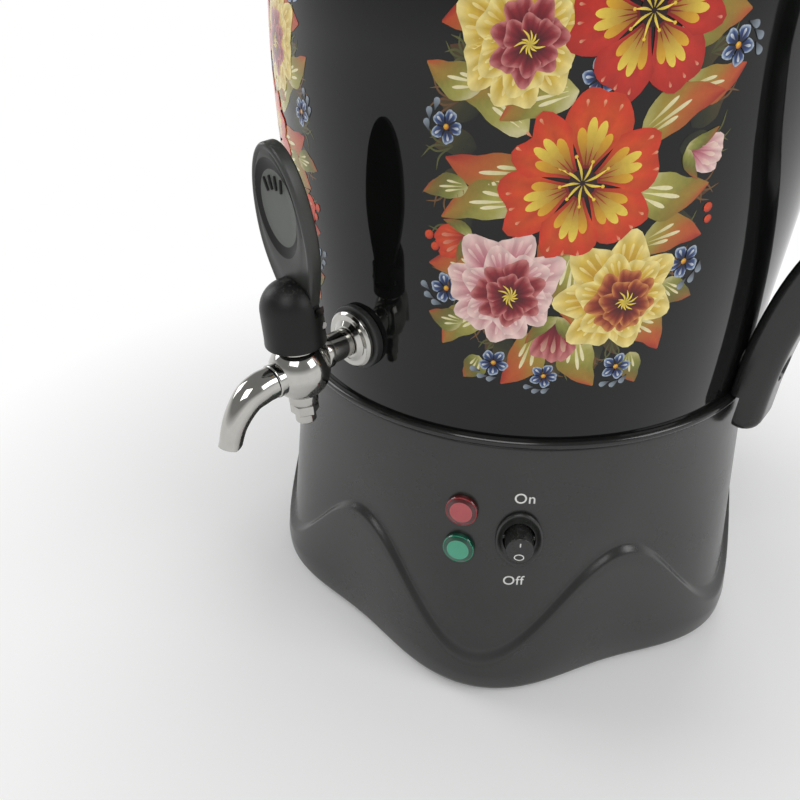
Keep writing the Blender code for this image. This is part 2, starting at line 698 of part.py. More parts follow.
def build_heater():
    plate = cylinder(HEATER_PLATE_RADIUS, PLATE_BOTTOM, PLATE_TOP, ROUND_STEPS * 2)
    add_object("heater_plate", plate, ALUMINIUM)
    level = PLATE_BOTTOM - CLEARANCE - HEATER_TUBE_RADIUS
    start = (360.0 - HEATER_SWEEP) / 2
    count = 24
    turns = [180.0 + start + HEATER_SWEEP * step / count for step in range(count + 1)]
    path = [polar(turn, HEATER_RING_RADIUS, level) for turn in turns]
    tail = Vector((0.0, 0.0, -HEATER_TAIL))
    bend = Vector((0.0, 0.0, -HEATER_TUBE_RADIUS))
    path = [path[0] + tail, path[0] + 2 * bend, *path[1:-1], path[-1] + 2 * bend, path[-1] + tail]
    rings = []
    for point, along in zip(path, directions(path)):
        out = Vector((point.x, point.y, 0.0)).normalized()
        up = out.cross(along).normalized()
        out = along.cross(up)
        turns = [math.tau * index / 6 for index in range(6)]
        rings.append([point + HEATER_TUBE_RADIUS * (math.cos(t) * out + math.sin(t) * up) for t in turns])
    add_object("heater_element", lofted(rings), BRIGHT_STEEL)
    top = PLATE_BOTTOM - CLEARANCE
    cap = top - THERMOSTAT_HEIGHT / 3
    low = top - THERMOSTAT_HEIGHT
    neck = 0.8 * THERMOSTAT_RADIUS
    profile = [(0.0, top), (THERMOSTAT_RADIUS, top), (THERMOSTAT_RADIUS, cap), (neck, cap), (neck, low),
               (0.0, low)]
    for name, side in (("boil_thermostat", 1.0), ("keep_warm_thermostat", -1.0)):
        spot = upright(Vector((side * THERMOSTAT_OFFSET, 0.0, 0.0)))
        add_object(name, turned(profile, SMALL_STEPS), PALE_PHENOLIC, spot)
    fuse = cylinder(FUSE_RADIUS, -FUSE_LENGTH / 2, FUSE_LENGTH / 2)
    spot = Vector((0.0, FUSE_OFFSET, top - FUSE_RADIUS))
    frame = placed(spot, Vector((0.0, 1.0, 0.0)), Vector((0.0, 0.0, 1.0)))
    add_object("thermal_fuse", fuse, ALUMINIUM, frame)


# Mouth, lid and teapot stand

def build_rim_and_lid():
    edge = RIM_HEIGHT / 3
    profile = [(RIM_INNER, RIM_TOP), (RIM_OUTER - edge, RIM_TOP), (RIM_OUTER, RIM_TOP - edge),
               (RIM_OUTER, RIM_BOTTOM + edge), (RIM_OUTER - edge, RIM_BOTTOM), (RIM_INNER, RIM_BOTTOM)]
    add_object("mouth_rim", turned(profile, RING_STEPS), BLACK_PLASTIC)
    skirt_low = LID_BRIM - LID_SKIRT_DEPTH
    skirt_inner = LID_SKIRT_RADIUS - LID_SHEET
    under = LID_TERRACE - LID_SHEET
    crown_under = LID_TOP - LID_SHEET
    profile = [(0.0, LID_TOP + LID_SEAT_RISE), (LID_SEAT_RADIUS, LID_TOP + LID_SEAT_RISE),
               (LID_SEAT_RADIUS, LID_TOP), (LID_TERRACE_INNER - LID_CROWN_RISE / 2, LID_TOP),
               (LID_TERRACE_INNER, LID_TERRACE), (LID_TERRACE_OUTER, LID_TERRACE),
               (0.5 * (LID_TERRACE_OUTER + LID_RADIUS), LID_TERRACE - 0.25 * LID_RISE),
               (LID_RADIUS, LID_BRIM + LID_SHEET), (LID_RADIUS, LID_BRIM),
               (LID_SKIRT_RADIUS, LID_BRIM), (LID_SKIRT_RADIUS, skirt_low), (skirt_inner, skirt_low),
               (skirt_inner, under), (LID_TERRACE_INNER - LID_CROWN_RISE / 2, under),
               (LID_TERRACE_INNER - LID_CROWN_RISE, crown_under), (0.0, crown_under)]
    lid_spot = Vector((0.0, 0.0, 0.0))
    add_object("lid", turned(profile, RING_STEPS), BLACK_ENAMEL, upright(lid_spot))
    inner = LID_SKIRT_RADIUS + CLEARANCE
    gasket_top = LID_BRIM - CLEARANCE
    gasket = tube(inner, inner + LID_GASKET_WIDTH, gasket_top - LID_GASKET_HEIGHT, gasket_top, RING_STEPS)
    add_object("lid_gasket", gasket, CLEAR_SILICONE)
    foot = LID_TERRACE + LID_CROWN_RISE + CLEARANCE
    sections = []
    for index in range(STAND_STEPS):
        azimuth = 360.0 * index / STAND_STEPS
        dip = STAND_SCALLOP_DEPTH * math.sin(math.radians(STAND_SCALLOPS * azimuth / 2)) ** 2
        top = foot + STAND_HEIGHT - dip
        spread = STAND_FLARE * (1.0 - dip / STAND_HEIGHT)
        middle = foot + STAND_HEIGHT / 3
        section = [(STAND_RADIUS, foot), (STAND_RADIUS, middle), (STAND_RADIUS + spread, top),
                   (STAND_RADIUS + spread - STAND_WALL, top), (STAND_RADIUS - STAND_WALL, middle),
                   (STAND_RADIUS - 2 * STAND_WALL, foot)]
        sections.append([polar(azimuth, radius, level) for radius, level in section])
    add_object("teapot_stand", lofted(sections, closed=True), CHROME)
    base = LID_TERRACE + CLEARANCE
    waist = 0.45 * KNOB_RADIUS
    profile = [(0.0, base + KNOB_HEIGHT), (0.6 * KNOB_RADIUS, base + 0.95 * KNOB_HEIGHT),
               (KNOB_RADIUS, base + 0.75 * KNOB_HEIGHT), (0.85 * KNOB_RADIUS, base + 0.5 * KNOB_HEIGHT),
               (waist, base + 0.3 * KNOB_HEIGHT), (0.7 * KNOB_RADIUS, base), (0.0, base)]
    for name, side in (("lid_knob_right", 1.0), ("lid_knob_left", -1.0)):
        spot = upright(Vector((side * KNOB_CIRCLE, 0.0, 0.0)))
        add_object(name, turned(profile, SMALL_STEPS), BLACK_PLASTIC, spot)


# Handles

def handle_outline():
    """A handle seen from the front: a tail down the tank's wall, then a wide loop to the shoulder."""
    half = HANDLE_THICKNESS / 2
    tail = TANK_RADIUS + half
    low = HANDLE_TAIL_BOTTOM + half
    course = [(0.0, 0.0), (0.0, 0.10), (0.03, 0.22), (0.13, 0.353), (0.33, 0.47), (0.66, 0.58),
              (0.93, 0.70), (1.0, 0.81), (0.80, 0.94), (0.34, 1.0), (-0.40, 1.0)]
    run = HANDLE_REACH - tail
    rise = HANDLE_TOP - low
    points = [Vector((tail + out * run, low + up * rise)) for out, up in course]
    path = smooth_path(points, 2)
    sides = [Vector((along.y, -along.x)) for along in directions(path)]
    outer = [point + half * side for point, side in zip(path, sides)]
    inner = [point - half * side for point, side in zip(path, sides)]
    turns = [math.pi * step / 4 for step in (1, 2, 3)]
    end = [path[0] + half * Vector((-math.cos(t), -math.sin(t))) for t in turns]
    return [*end, *outer, *reversed(inner)]


def build_handle(name, side):
    """One handle with its weld boss, bracket and two screws, on the side of the given sign."""
    half = HANDLE_WIDTH / 2
    outline = [(side * point.x, point.y) for point in handle_outline()]
    sections = [[(x, y, level) for x, level in outline] for y in (-half, half)]
    handle = add_object(f"handle_{name}", lofted(sections), BLACK_PLASTIC)
    bevel(handle, HANDLE_EDGE, 2)
    cut(handle, "tank_seat", tank_envelope())

    spot = Vector((0.0, 0.0, HANDLE_SCREW_HEIGHT))
    inward = placed(spot, Vector((0.0, side, 0.0)), Vector((0.0, 0.0, 1.0)))
    face = TANK_RADIUS + HANDLE_THICKNESS
    boss_foot = TANK_RADIUS + CLEARANCE
    boss_top = boss_foot + WELD_BOSS_LENGTH
    head_under = face - HANDLE_SCREW_SINK - HANDLE_SCREW_RADIUS
    loose = 2 * CLEARANCE
    cut(handle, "boss_pocket", cylinder(WELD_BOSS_RADIUS + CLEARANCE, 0.0, boss_top + CLEARANCE), inward)
    cut(handle, "screw_hole", cylinder(HANDLE_SCREW_RADIUS + CLEARANCE, boss_top - loose, head_under), inward)
    cut(handle, "screw_recess", cylinder(HANDLE_SCREW_HEAD + loose, head_under - CLEARANCE, 2 * face), inward)
    boss = cylinder(WELD_BOSS_RADIUS, boss_foot - loose, boss_top)
    boss = add_object(f"handle_boss_{name}", boss, BRIGHT_STEEL, inward)
    cut(boss, "tank_seat", tank_envelope())
    cut(boss, "thread", cylinder(HANDLE_SCREW_RADIUS + CLEARANCE, boss_foot + SHEET, 2 * face), inward)
    add_object(f"handle_lower_screw_{name}", screw(boss_foot + 2 * SHEET, head_under), BRIGHT_STEEL, inward)

    level = HANDLE_TOP
    plate_low = level - BRACKET_THICKNESS / 2
    plate_high = level + BRACKET_THICKNESS / 2
    ends = sorted((side * MOUTH_RADIUS, side * BRACKET_REACH))
    slot = box((ends[0] - CLEARANCE, -BRACKET_WIDTH / 2 - CLEARANCE, plate_low - CLEARANCE),
               (ends[1] + CLEARANCE, BRACKET_WIDTH / 2 + CLEARANCE, plate_high + CLEARANCE))
    cut(handle, "bracket_slot", slot)
    plate = box((ends[0], -BRACKET_WIDTH / 2, plate_low), (ends[1], BRACKET_WIDTH / 2, plate_high))
    bracket = add_object(f"handle_bracket_{name}", plate, BRIGHT_STEEL)
    cut(bracket, "tank_seat", tank_envelope())
    foot = Vector((side * BRACKET_SCREW_REACH, 0.0, 0.0))
    upward = placed(foot, Vector((1.0, 0.0, 0.0)), Vector((0.0, -1.0, 0.0)))
    below = HANDLE_TOP - HANDLE_THICKNESS / 2
    head = below + HANDLE_SCREW_SINK
    tip = plate_high + HANDLE_SCREW_RADIUS
    cut(bracket, "thread", cylinder(HANDLE_SCREW_RADIUS + CLEARANCE, -tip - loose, -below), upward)
    cut(handle, "upper_hole", cylinder(HANDLE_SCREW_RADIUS + CLEARANCE, -tip - CLEARANCE, -head), upward)
    recess_depth = head + HANDLE_SCREW_RADIUS + CLEARANCE
    recess = cylinder(HANDLE_SCREW_HEAD + loose, -recess_depth, HANDLE_THICKNESS / 2 - below)
    cut(handle, "upper_recess", recess, upward)
    add_object(f"handle_upper_screw_{name}", screw(-tip, -head - HANDLE_SCREW_RADIUS), BRIGHT_STEEL, upward)


def screw(tip, under):
    """A pan-head screw along Z, its head above the level under."""
    radius, head = HANDLE_SCREW_RADIUS, HANDLE_SCREW_HEAD
    profile = [(0.0, under + radius), (0.6 * head, under + radius), (head, under + radius / 3), (head, under),
               (radius, under), (radius, tip), (0.0, tip)]
    return turned(profile, SCREW_STEPS)


# Tap

def tap_axis(height):
    """A frame with world axes on the tap's upright axis."""
    return upright(Vector((0.0, -TAP_REACH, height)))


def along_tap(start, end):
    """A cylinder frame and length from one (reach, height) point to another in the tap's plane."""
    begin = Vector((0.0, -start[0], start[1]))
    finish = Vector((0.0, -end[0], end[1]))
    along = (finish - begin).normalized()
    across = Vector((1.0, 0.0, 0.0))
    return placed(begin, across, along.cross(across)), (finish - begin).length


def build_tap_seat():
    """The gasket and flange outside the tank, the washer and lock nut inside it."""
    hole = SHANK_RADIUS + CLEARANCE
    frame = pointing_out(TAP_HEIGHT, 0.0)
    gasket_face = TANK_RADIUS + TAP_GASKET_THICKNESS
    gasket = tube(hole, TAP_GASKET_RADIUS, TANK_RADIUS - TAP_GASKET_THICKNESS, gasket_face)
    gasket = add_object("tap_gasket", gasket, BLACK_RUBBER, frame)
    cut(gasket, "tank_seat", tank_envelope())
    back = gasket_face + CLEARANCE
    face = back + TAP_FLANGE_THICKNESS
    profile = [(hole, face + TAP_FLANGE_DISH), (SHANK_RING_RADIUS, face + TAP_FLANGE_DISH),
               (0.8 * TAP_FLANGE_RADIUS, face), (TAP_FLANGE_RADIUS, face - TAP_FLANGE_THICKNESS / 3),
               (TAP_FLANGE_RADIUS, back), (hole, back)]
    add_object("tap_flange", turned(profile, ROUND_STEPS), CHROME, frame)

    inside = TANK_RADIUS * math.cos(math.pi / RING_STEPS) - SHEET
    sag = inside - math.sqrt(inside ** 2 - INNER_WASHER_RADIUS ** 2)
    washer_face = inside - sag - INNER_WASHER_THICKNESS
    washer = tube(hole, INNER_WASHER_RADIUS, washer_face, inside)
    washer = add_object("tap_inner_washer", washer, CLEAR_SILICONE, frame)
    shell = [(radius - 2 * CLEARANCE, level) for radius, level in tank_profile(-SHEET)]
    outer = 2 * TANK_RADIUS
    jacket = turned([*reversed(shell), (outer, shell[0][1]), (outer, shell[-1][1])], RING_STEPS)
    cut(washer, "tank_seat", jacket)
    nut_face = washer_face - CLEARANCE
    nut = prism(hexagon(LOCKNUT_FLAT), nut_face - LOCKNUT_THICKNESS, nut_face)
    nut = add_object("tap_locknut", nut, BRASS, frame)
    cut(nut, "thread", cylinder(hole, 0.0, TANK_RADIUS), frame)


def build_tap_body():
    centre = -BALL_DROP
    neck_start = centre + math.sqrt(BALL_RADIUS ** 2 - NECK_RADIUS ** 2)
    boss_start = centre - math.sqrt(BALL_RADIUS ** 2 - PLUG_BOSS_RADIUS ** 2)
    boss_end = centre - PLUG_BOSS_DEPTH
    thread_start = BONNET_START + CLEARANCE
    high = math.atan2(neck_start - centre, NECK_RADIUS)
    low = math.atan2(boss_start - centre, PLUG_BOSS_RADIUS)
    turns = [high + (low - high) * step / 6 for step in range(7)]
    profile = [(0.0, TAP_NECK_TOP), (NECK_THREAD_RADIUS, TAP_NECK_TOP), (NECK_THREAD_RADIUS, thread_start),
               (NECK_RADIUS, thread_start)]
    profile += [(BALL_RADIUS * math.cos(turn), centre + BALL_RADIUS * math.sin(turn)) for turn in turns]
    profile += [(PLUG_BOSS_RADIUS, boss_end), (0.0, boss_end)]
    axis = tap_axis(TAP_HEIGHT)
    body = add_object("tap_body", turned(profile, ROUND_STEPS), CHROME, axis)

    inner_end = TANK_RADIUS - SHANK_INSIDE
    ring_end = TAP_REACH - 0.85 * BALL_RADIUS
    ring_start = ring_end - SHANK_RING_LENGTH
    profile = [(0.0, TAP_REACH), (SHANK_RADIUS, TAP_REACH), (SHANK_RADIUS, ring_end),
               (SHANK_RING_RADIUS, ring_end), (SHANK_RING_RADIUS, ring_start), (SHANK_RADIUS, ring_start),
               (SHANK_RADIUS, inner_end), (0.0, inner_end)]
    join(body, "shank", turned(profile, ROUND_STEPS), pointing_out(TAP_HEIGHT, 0.0))
    collar_end = spout_start()[0] - CLEARANCE
    collar = cylinder(SPOUT_COLLAR_RADIUS, TAP_REACH, collar_end, ROUND_STEPS)
    join(body, "spout_collar", collar, pointing_out(spout_start()[1], 0.0))

    cut(body, "chamber", cylinder(CHAMBER_RADIUS, -CHAMBER_FLOOR, 2 * TAP_NECK_TOP), axis)
    stud_top = boss_end + PLUG_STUD_LENGTH
    cut(body, "plug_hole", cylinder(PLUG_STUD_RADIUS + CLEARANCE, 2 * boss_end, stud_top), axis)
    cut(body, "port", cylinder(BORE_RADIUS, stud_top - CLEARANCE, 0.0), axis)
    cut(body, "inlet", cylinder(BORE_RADIUS, inner_end - SHEET, TAP_REACH), pointing_out(TAP_HEIGHT, 0.0))
    bend = (TAP_REACH, TAP_HEIGHT + stud_top + BORE_RADIUS / 2)
    frame, length = along_tap(bend, spout_start())
    cut(body, "outlet", cylinder(OUTLET_RADIUS, 0.0, length + CLEARANCE), frame)


def spout_start():
    """Where the spout's tube begins, as (reach, height)."""
    return (TAP_REACH + BALL_RADIUS + SPOUT_COLLAR_LENGTH / 2, TAP_HEIGHT - BALL_DROP)


def build_spout():
    start = Vector(spout_start())
    run = TAP_REACH + SPOUT_REACH - start.x
    course = [(0.0, 0.0), (0.20, 0.0), (0.50, 0.01), (0.80, -0.38), (1.0, -1.0)]
    points = [start + Vector((out * run, down * SPOUT_DROP)) for out, down in course]
    path = [Vector((0.0, -point.x, point.y)) for point in smooth_path(points, 2)]
    last = len(path) - 1
    taper = SPOUT_TIP_RADIUS - SPOUT_START_RADIUS
    radii = [SPOUT_START_RADIUS + taper * step / last for step in range(last + 1)]
    side = Vector((1.0, 0.0, 0.0))
    outer = rings_along(path, radii, side, SMALL_STEPS)
    inner = rings_along(path, [BORE_RADIUS] * len(path), side, SMALL_STEPS)
    spout = add_object("tap_spout", lofted(outer + inner[::-1], closed=True), CHROME)
    tip = path[-1]
    level = Matrix.Translation(tip) @ Matrix.Rotation(math.radians(SPOUT_CUT), 4, "X")
    size = 2 * SPOUT_START_RADIUS
    cut(spout, "tip_cut", box((-size, -size, -size), (size, size, 0.0)), level)


def build_plug():
    top = -BALL_DROP - PLUG_BOSS_DEPTH - CLEARANCE
    hex_end = top - PLUG_HEX_HEIGHT
    ring_end = hex_end - PLUG_RING_HEIGHT
    axis = tap_axis(TAP_HEIGHT)
    plug = add_object("tap_plug", prism(hexagon(PLUG_FLAT), hex_end, top), CHROME, axis)
    middle = top - PLUG_HEX_HEIGHT / 2
    join(plug, "stud", cylinder(PLUG_STUD_RADIUS, middle, top + PLUG_STUD_LENGTH), axis)
    profile = [(0.0, middle), (PLUG_RING_RADIUS, middle), (PLUG_RING_RADIUS, ring_end + PLUG_RING_HEIGHT / 4),
               (0.7 * PLUG_RING_RADIUS, ring_end), (0.0, ring_end)]
    join(plug, "ring", turned(profile, SMALL_STEPS), axis)


def pivot_point():
    """The lever's axis, across the back of the bonnet."""
    return Vector((0.0, PIVOT_OFFSET - TAP_REACH, TAP_HEIGHT + PIVOT_RISE))


def blade_frame():
    """The lever's blade: x across, y towards the tank, z up the leaning blade."""
    lean = Matrix.Rotation(math.radians(LEVER_LEAN), 4, "X")
    return Matrix.Translation(pivot_point() + Vector((0.0, 0.0, BLADE_RISE))) @ lean


def build_bonnet():
    low = BONNET_START
    top = BONNET_START + BONNET_HEIGHT
    side_top = top - BONNET_RADIUS
    inner = BONNET_RADIUS - BONNET_WALL
    turns = [math.pi / 2 * (1.0 - step / 5) for step in range(6)]
    dome = [(BONNET_RADIUS * math.cos(turn), side_top + BONNET_RADIUS * math.sin(turn)) for turn in turns]
    dome[0] = (0.0, top)
    profile = [*dome, (BONNET_RADIUS, low + BONNET_WALL / 3), (BONNET_RADIUS - BONNET_WALL / 3, low),
               (inner, low), (inner, side_top), (0.7 * inner, side_top + 0.7 * inner),
               (0.0, side_top + inner)]
    bonnet = add_object("tap_bonnet", turned(profile, ROUND_STEPS), BLACK_PLASTIC, tap_axis(TAP_HEIGHT))
    pivot = pivot_point()
    gap = LEVER_ROOT_WIDTH / 2 + ROOT_PLAY
    slot = box((-gap, 0.0, -ROOT_RADIUS - ROOT_PLAY), (gap, BONNET_RADIUS, BONNET_HEIGHT))
    cut(bonnet, "root_slot", slot, upright(pivot + Vector((0.0, -ROOT_RADIUS, 0.0))))
    wide = LEVER_WIDTH
    notch = box((-wide, -LEVER_FRONT - ROOT_PLAY, -BLADE_PLAY), (wide, wide, LEVER_LENGTH))
    cut(bonnet, "blade_notch", notch, blade_frame())
    hole = cylinder(PIN_RADIUS + CLEARANCE, -BONNET_RADIUS, BONNET_RADIUS)
    cut(bonnet, "pin_hole", hole, pin_frame())
    pin = cylinder(PIN_RADIUS, -PIN_LENGTH / 2, PIN_LENGTH / 2)
    add_object("lever_pin", pin, BRIGHT_STEEL, pin_frame())


def pin_frame():
    return placed(pivot_point(), Vector((0.0, 1.0, 0.0)), Vector((0.0, 0.0, 1.0)))


def blade_outline():
    """The blade's leaf shape, as (across, up) points."""
    half = LEVER_WIDTH / 2
    neck = LEVER_NECK / 2
    widest = 0.46 * LEVER_LENGTH
    right = []
    for step in range(5):
        share = step / 5
        right.append((neck + (half - neck) * math.sin(math.pi / 2 * share), widest * share))
    for step in range(8):
        turn = math.pi / 2 * step / 8
        right.append((half * math.cos(turn), widest + (LEVER_LENGTH - widest) * math.sin(turn)))
    left = [(-across, up) for across, up in reversed(right)]
    return [*right, (0.0, LEVER_LENGTH), *left]


def build_lever():
    """The lever: a leaf blade on a root that turns on the pin, with two prongs under the stem's head."""
    pivot = pivot_point()
    to_pivot = upright(pivot).inverted()
    sections = []
    for depth in (-LEVER_FRONT, LEVER_THICKNESS - LEVER_FRONT):
        loop = [to_pivot @ blade_frame() @ Vector((across, depth, up)) for across, up in blade_outline()]
        sections.append(loop)
    lever = add_object("tap_lever", lofted(sections), BLACK_PLASTIC, upright(pivot))
    bevel(lever, LEVER_EDGE, 2)
    half = LEVER_ROOT_WIDTH / 2
    back = LEVER_THICKNESS - LEVER_FRONT
    corner = ROOT_RADIUS / 2
    root_top = BLADE_RISE + LEVER_THICKNESS
    outline = [(-ROOT_RADIUS, -corner), (-corner, -ROOT_RADIUS), (corner, -ROOT_RADIUS),
               (ROOT_RADIUS, -corner), (back, root_top), (-ROOT_RADIUS, root_top)]
    root = lofted([[(x, y, z) for y, z in outline] for x in (-half, half)])
    join(lever, "root", root, upright(pivot))
    reach = PIVOT_OFFSET + STEM_HEAD_RADIUS / 3
    for name, start, end in (("prong_right", PRONG_GAP / 2, half), ("prong_left", -half, -PRONG_GAP / 2)):
        prong = box((start, -reach, -PRONG_HEIGHT / 2), (end, 0.0, PRONG_HEIGHT / 2))
        join(lever, name, prong, upright(pivot))
    hole = cylinder(PIN_RADIUS + CLEARANCE, -LEVER_WIDTH, LEVER_WIDTH)
    cut(lever, "pin_hole", hole, pin_frame())
    middle = PAD_CENTRE
    loops = []
    for depth in (-LEVER_FRONT - PAD_DEPTH, -LEVER_FRONT + PAD_DEPTH):
        oval = ellipse(PAD_WIDTH / 2, PAD_LENGTH / 2, 0.0)
        loops.append([(across, depth, middle + up) for across, up, level in oval])
    cut(lever, "thumb_pad", lofted(loops), blade_frame())


def build_valve():
    """The stem, its seal on the chamber's floor, the guide in the neck and the spring between them."""
    axis = tap_axis(TAP_HEIGHT)
    seal_low = -CHAMBER_FLOOR + CLEARANCE
    seal_top = seal_low + SEAL_HEIGHT
    pocket = seal_low + SEAL_HEIGHT / 4
    profile = [(0.0, pocket), (STEM_RADIUS + CLEARANCE, pocket), (STEM_RADIUS + CLEARANCE, seal_top),
               (SEAL_RADIUS, seal_top), (SEAL_RADIUS, seal_low), (0.0, seal_low)]
    add_object("tap_seal", turned(profile, SMALL_STEPS), CLEAR_SILICONE, axis)
    head_low = PIVOT_RISE + PRONG_HEIGHT / 2 + CLEARANCE
    head_top = head_low + STEM_HEAD_HEIGHT
    profile = [(0.0, head_top), (STEM_HEAD_RADIUS, head_top), (STEM_HEAD_RADIUS, head_low),
               (STEM_RADIUS, head_low), (STEM_RADIUS, pocket + CLEARANCE), (0.0, pocket + CLEARANCE)]
    add_object("tap_stem", turned(profile, SMALL_STEPS), BRIGHT_STEEL, axis)
    guide_low = TAP_NECK_TOP - GUIDE_HEIGHT
    guide = tube(STEM_RADIUS + CLEARANCE, CHAMBER_RADIUS - CLEARANCE, guide_low, TAP_NECK_TOP, SMALL_STEPS)
    add_object("stem_guide", guide, BRASS, axis)
    low = seal_top + CLEARANCE + SPRING_WIRE
    high = guide_low - CLEARANCE - SPRING_WIRE
    count = 8 * SPRING_TURNS
    path = []
    for step in range(count + 1):
        turn = math.tau * step / 8
        path.append(Vector((SPRING_RADIUS * math.cos(turn), SPRING_RADIUS * math.sin(turn),
                            low + (high - low) * step / count)))
    rings = rings_along(path, [SPRING_WIRE] * len(path), Vector((0.0, 0.0, 1.0)), 4)
    add_object("tap_spring", lofted(rings), BRIGHT_STEEL, axis)


# Control panel

def switch_body(play):
    """Half sizes of the switch's body, with some play round it."""
    return (ROCKER_HALF_WIDTH + ROCKER_PLAY + SWITCH_WALL + play,
            ROCKER_HALF_HEIGHT + ROCKER_PLAY + SWITCH_WALL + play)


def build_panel():
    lamps = (("red", RED_LAMP_HEIGHT, RED_LENS), ("green", GREEN_LAMP_HEIGHT, GREEN_LENS))
    for name, height, finish in lamps:
        frame = on_skirt(LAMP_AZIMUTH, height)
        profile = [(0.0, LENS_STAND), (LENS_COLLAR - LENS_EDGE, LENS_STAND),
                   (LENS_COLLAR, LENS_STAND - LENS_EDGE), (LENS_COLLAR, CLEARANCE), (LENS_SHANK, CLEARANCE),
                   (LENS_SHANK, -LENS_DEPTH), (0.0, -LENS_DEPTH)]
        add_object(f"lamp_lens_{name}", turned(profile, SMALL_STEPS), finish, frame)
        back = -LENS_DEPTH - CLEARANCE
        holder = cylinder(LENS_SHANK, back - LAMP_HOLDER_LENGTH, back)
        add_object(f"lamp_holder_{name}", holder, PALE_PHENOLIC, frame)

    frame = on_skirt(SWITCH_AZIMUTH, SWITCH_HEIGHT)
    window = (ROCKER_HALF_WIDTH + ROCKER_PLAY, ROCKER_HALF_HEIGHT + ROCKER_PLAY)
    rim = BEZEL_STAND / 2
    floor = SWITCH_WALL - SWITCH_DEPTH
    sections = [ellipse(*switch_body(0.0), -SWITCH_DEPTH), ellipse(*switch_body(0.0), CLEARANCE),
                ellipse(BEZEL_HALF_WIDTH, BEZEL_HALF_HEIGHT, CLEARANCE),
                ellipse(BEZEL_HALF_WIDTH, BEZEL_HALF_HEIGHT, rim),
                ellipse(BEZEL_HALF_WIDTH - rim, BEZEL_HALF_HEIGHT - rim, BEZEL_STAND),
                ellipse(*window, 2 * CLEARANCE), ellipse(*window, floor)]
    add_object("switch_bezel", lofted(sections), BLACK_PLASTIC, frame)
    pivot = -ROCKER_PIVOT_DEPTH
    taper, edge = ROCKER_TAPER, ROCKER_EDGE
    insets = [(-ROCKER_BELOW, 2 * taper), (pivot, 0.0), (ROCKER_STAND - edge, taper),
              (ROCKER_STAND, taper + edge)]
    sections = []
    for level, inset in insets:
        sections.append(ellipse(ROCKER_HALF_WIDTH - inset, ROCKER_HALF_HEIGHT - inset, level - pivot))
    rest = Matrix.Translation((0.0, 0.0, pivot)) @ Matrix.Rotation(math.radians(ROCKER_THROW / 2), 4, "X")
    rocker = add_object("rocker", lofted(sections), BLACK_PLASTIC, frame @ rest)
    pin = cylinder(PIN_RADIUS, -window[0] - SWITCH_WALL / 2, window[0] + SWITCH_WALL / 2, 12)
    pivot_frame = frame @ Matrix.Translation((0.0, 0.0, pivot)) @ Matrix.Rotation(math.pi / 2, 4, "Y")
    pin_hole = cylinder(PIN_RADIUS + CLEARANCE, -window[0] - SWITCH_WALL / 2 - CLEARANCE,
                        window[0] + SWITCH_WALL / 2 + CLEARANCE, 12)
    bezel = bpy.data.objects["switch_bezel"]
    cut(bezel, "pin_holes", pin_hole, pivot_frame)
    join(rocker, "pin", pin, pivot_frame)


# Mains inlet

def rounded_box(half_width, half_tall, level):
    """A rectangle with cut corners, as a loop of points."""
    corner = 0.2 * half_tall
    return [(half_width, corner - half_tall, level), (half_width, half_tall - corner, level),
            (half_width - corner, half_tall, level), (corner - half_width, half_tall, level),
            (-half_width, half_tall - corner, level), (-half_width, corner - half_tall, level),
            (corner - half_width, -half_tall, level), (half_width - corner, -half_tall, level)]


def build_inlet():
    spot = Vector((0.0, inlet_seat(), INLET_HEIGHT))
    frame = placed(spot, Vector((-1.0, 0.0, 0.0)), Vector((0.0, 0.0, 1.0)))
    half_width, half_tall = INLET_WIDTH / 2, INLET_TALL / 2
    face = CLEARANCE + INLET_FLANGE_THICKNESS
    floor = INLET_WALL - INLET_DEPTH
    flange = (half_width + INLET_FLANGE, half_tall + INLET_FLANGE)
    socket = (half_width - INLET_WALL, half_tall - INLET_WALL)
    body = (half_width, half_tall)
    sections = [rounded_box(*body, -INLET_DEPTH), rounded_box(*body, CLEARANCE),
                rounded_box(*flange, CLEARANCE), rounded_box(*flange, face),
                rounded_box(*socket, face), rounded_box(*socket, floor)]
    add_object("power_inlet", lofted(sections), BLACK_PLASTIC, frame)
    pins = (("earth", 0.0, INLET_PIN_OFFSET), ("live", INLET_PIN_SPACING / 2, -INLET_PIN_OFFSET),
            ("neutral", -INLET_PIN_SPACING / 2, -INLET_PIN_OFFSET))
    for name, across, up in pins:
        low = (across - INLET_PIN_WIDTH / 2, up - INLET_PIN_TALL / 2, floor + CLEARANCE)
        high = (across + INLET_PIN_WIDTH / 2, up + INLET_PIN_TALL / 2, floor + INLET_PIN_LENGTH)
        add_object(f"inlet_pin_{name}", box(low, high), BRASS, frame)


def main():
    clear_scene()
    build_base_housing()
    build_bottom_cover()
    build_feet_and_cover_screws()
    build_seam_ring()
    build_body_shell()
    build_tank_floor()
    build_heater()
    build_rim_and_lid()
    build_handle("right", 1.0)
    build_handle("left", -1.0)
    build_tap_seat()
    build_tap_body()
    build_spout()
    build_plug()
    build_bonnet()
    build_lever()
    build_valve()
    build_panel()
    build_inlet()


main()
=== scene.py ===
import random
from math import atan, atan2, cos, exp, hypot, pi, radians, sin, sqrt, tan, tau

import bmesh
import bpy
from bpy.props import FloatProperty, FloatVectorProperty, IntProperty, PointerProperty
from bpy.types import Operator, Panel, PropertyGroup
from mathutils import Matrix, Vector


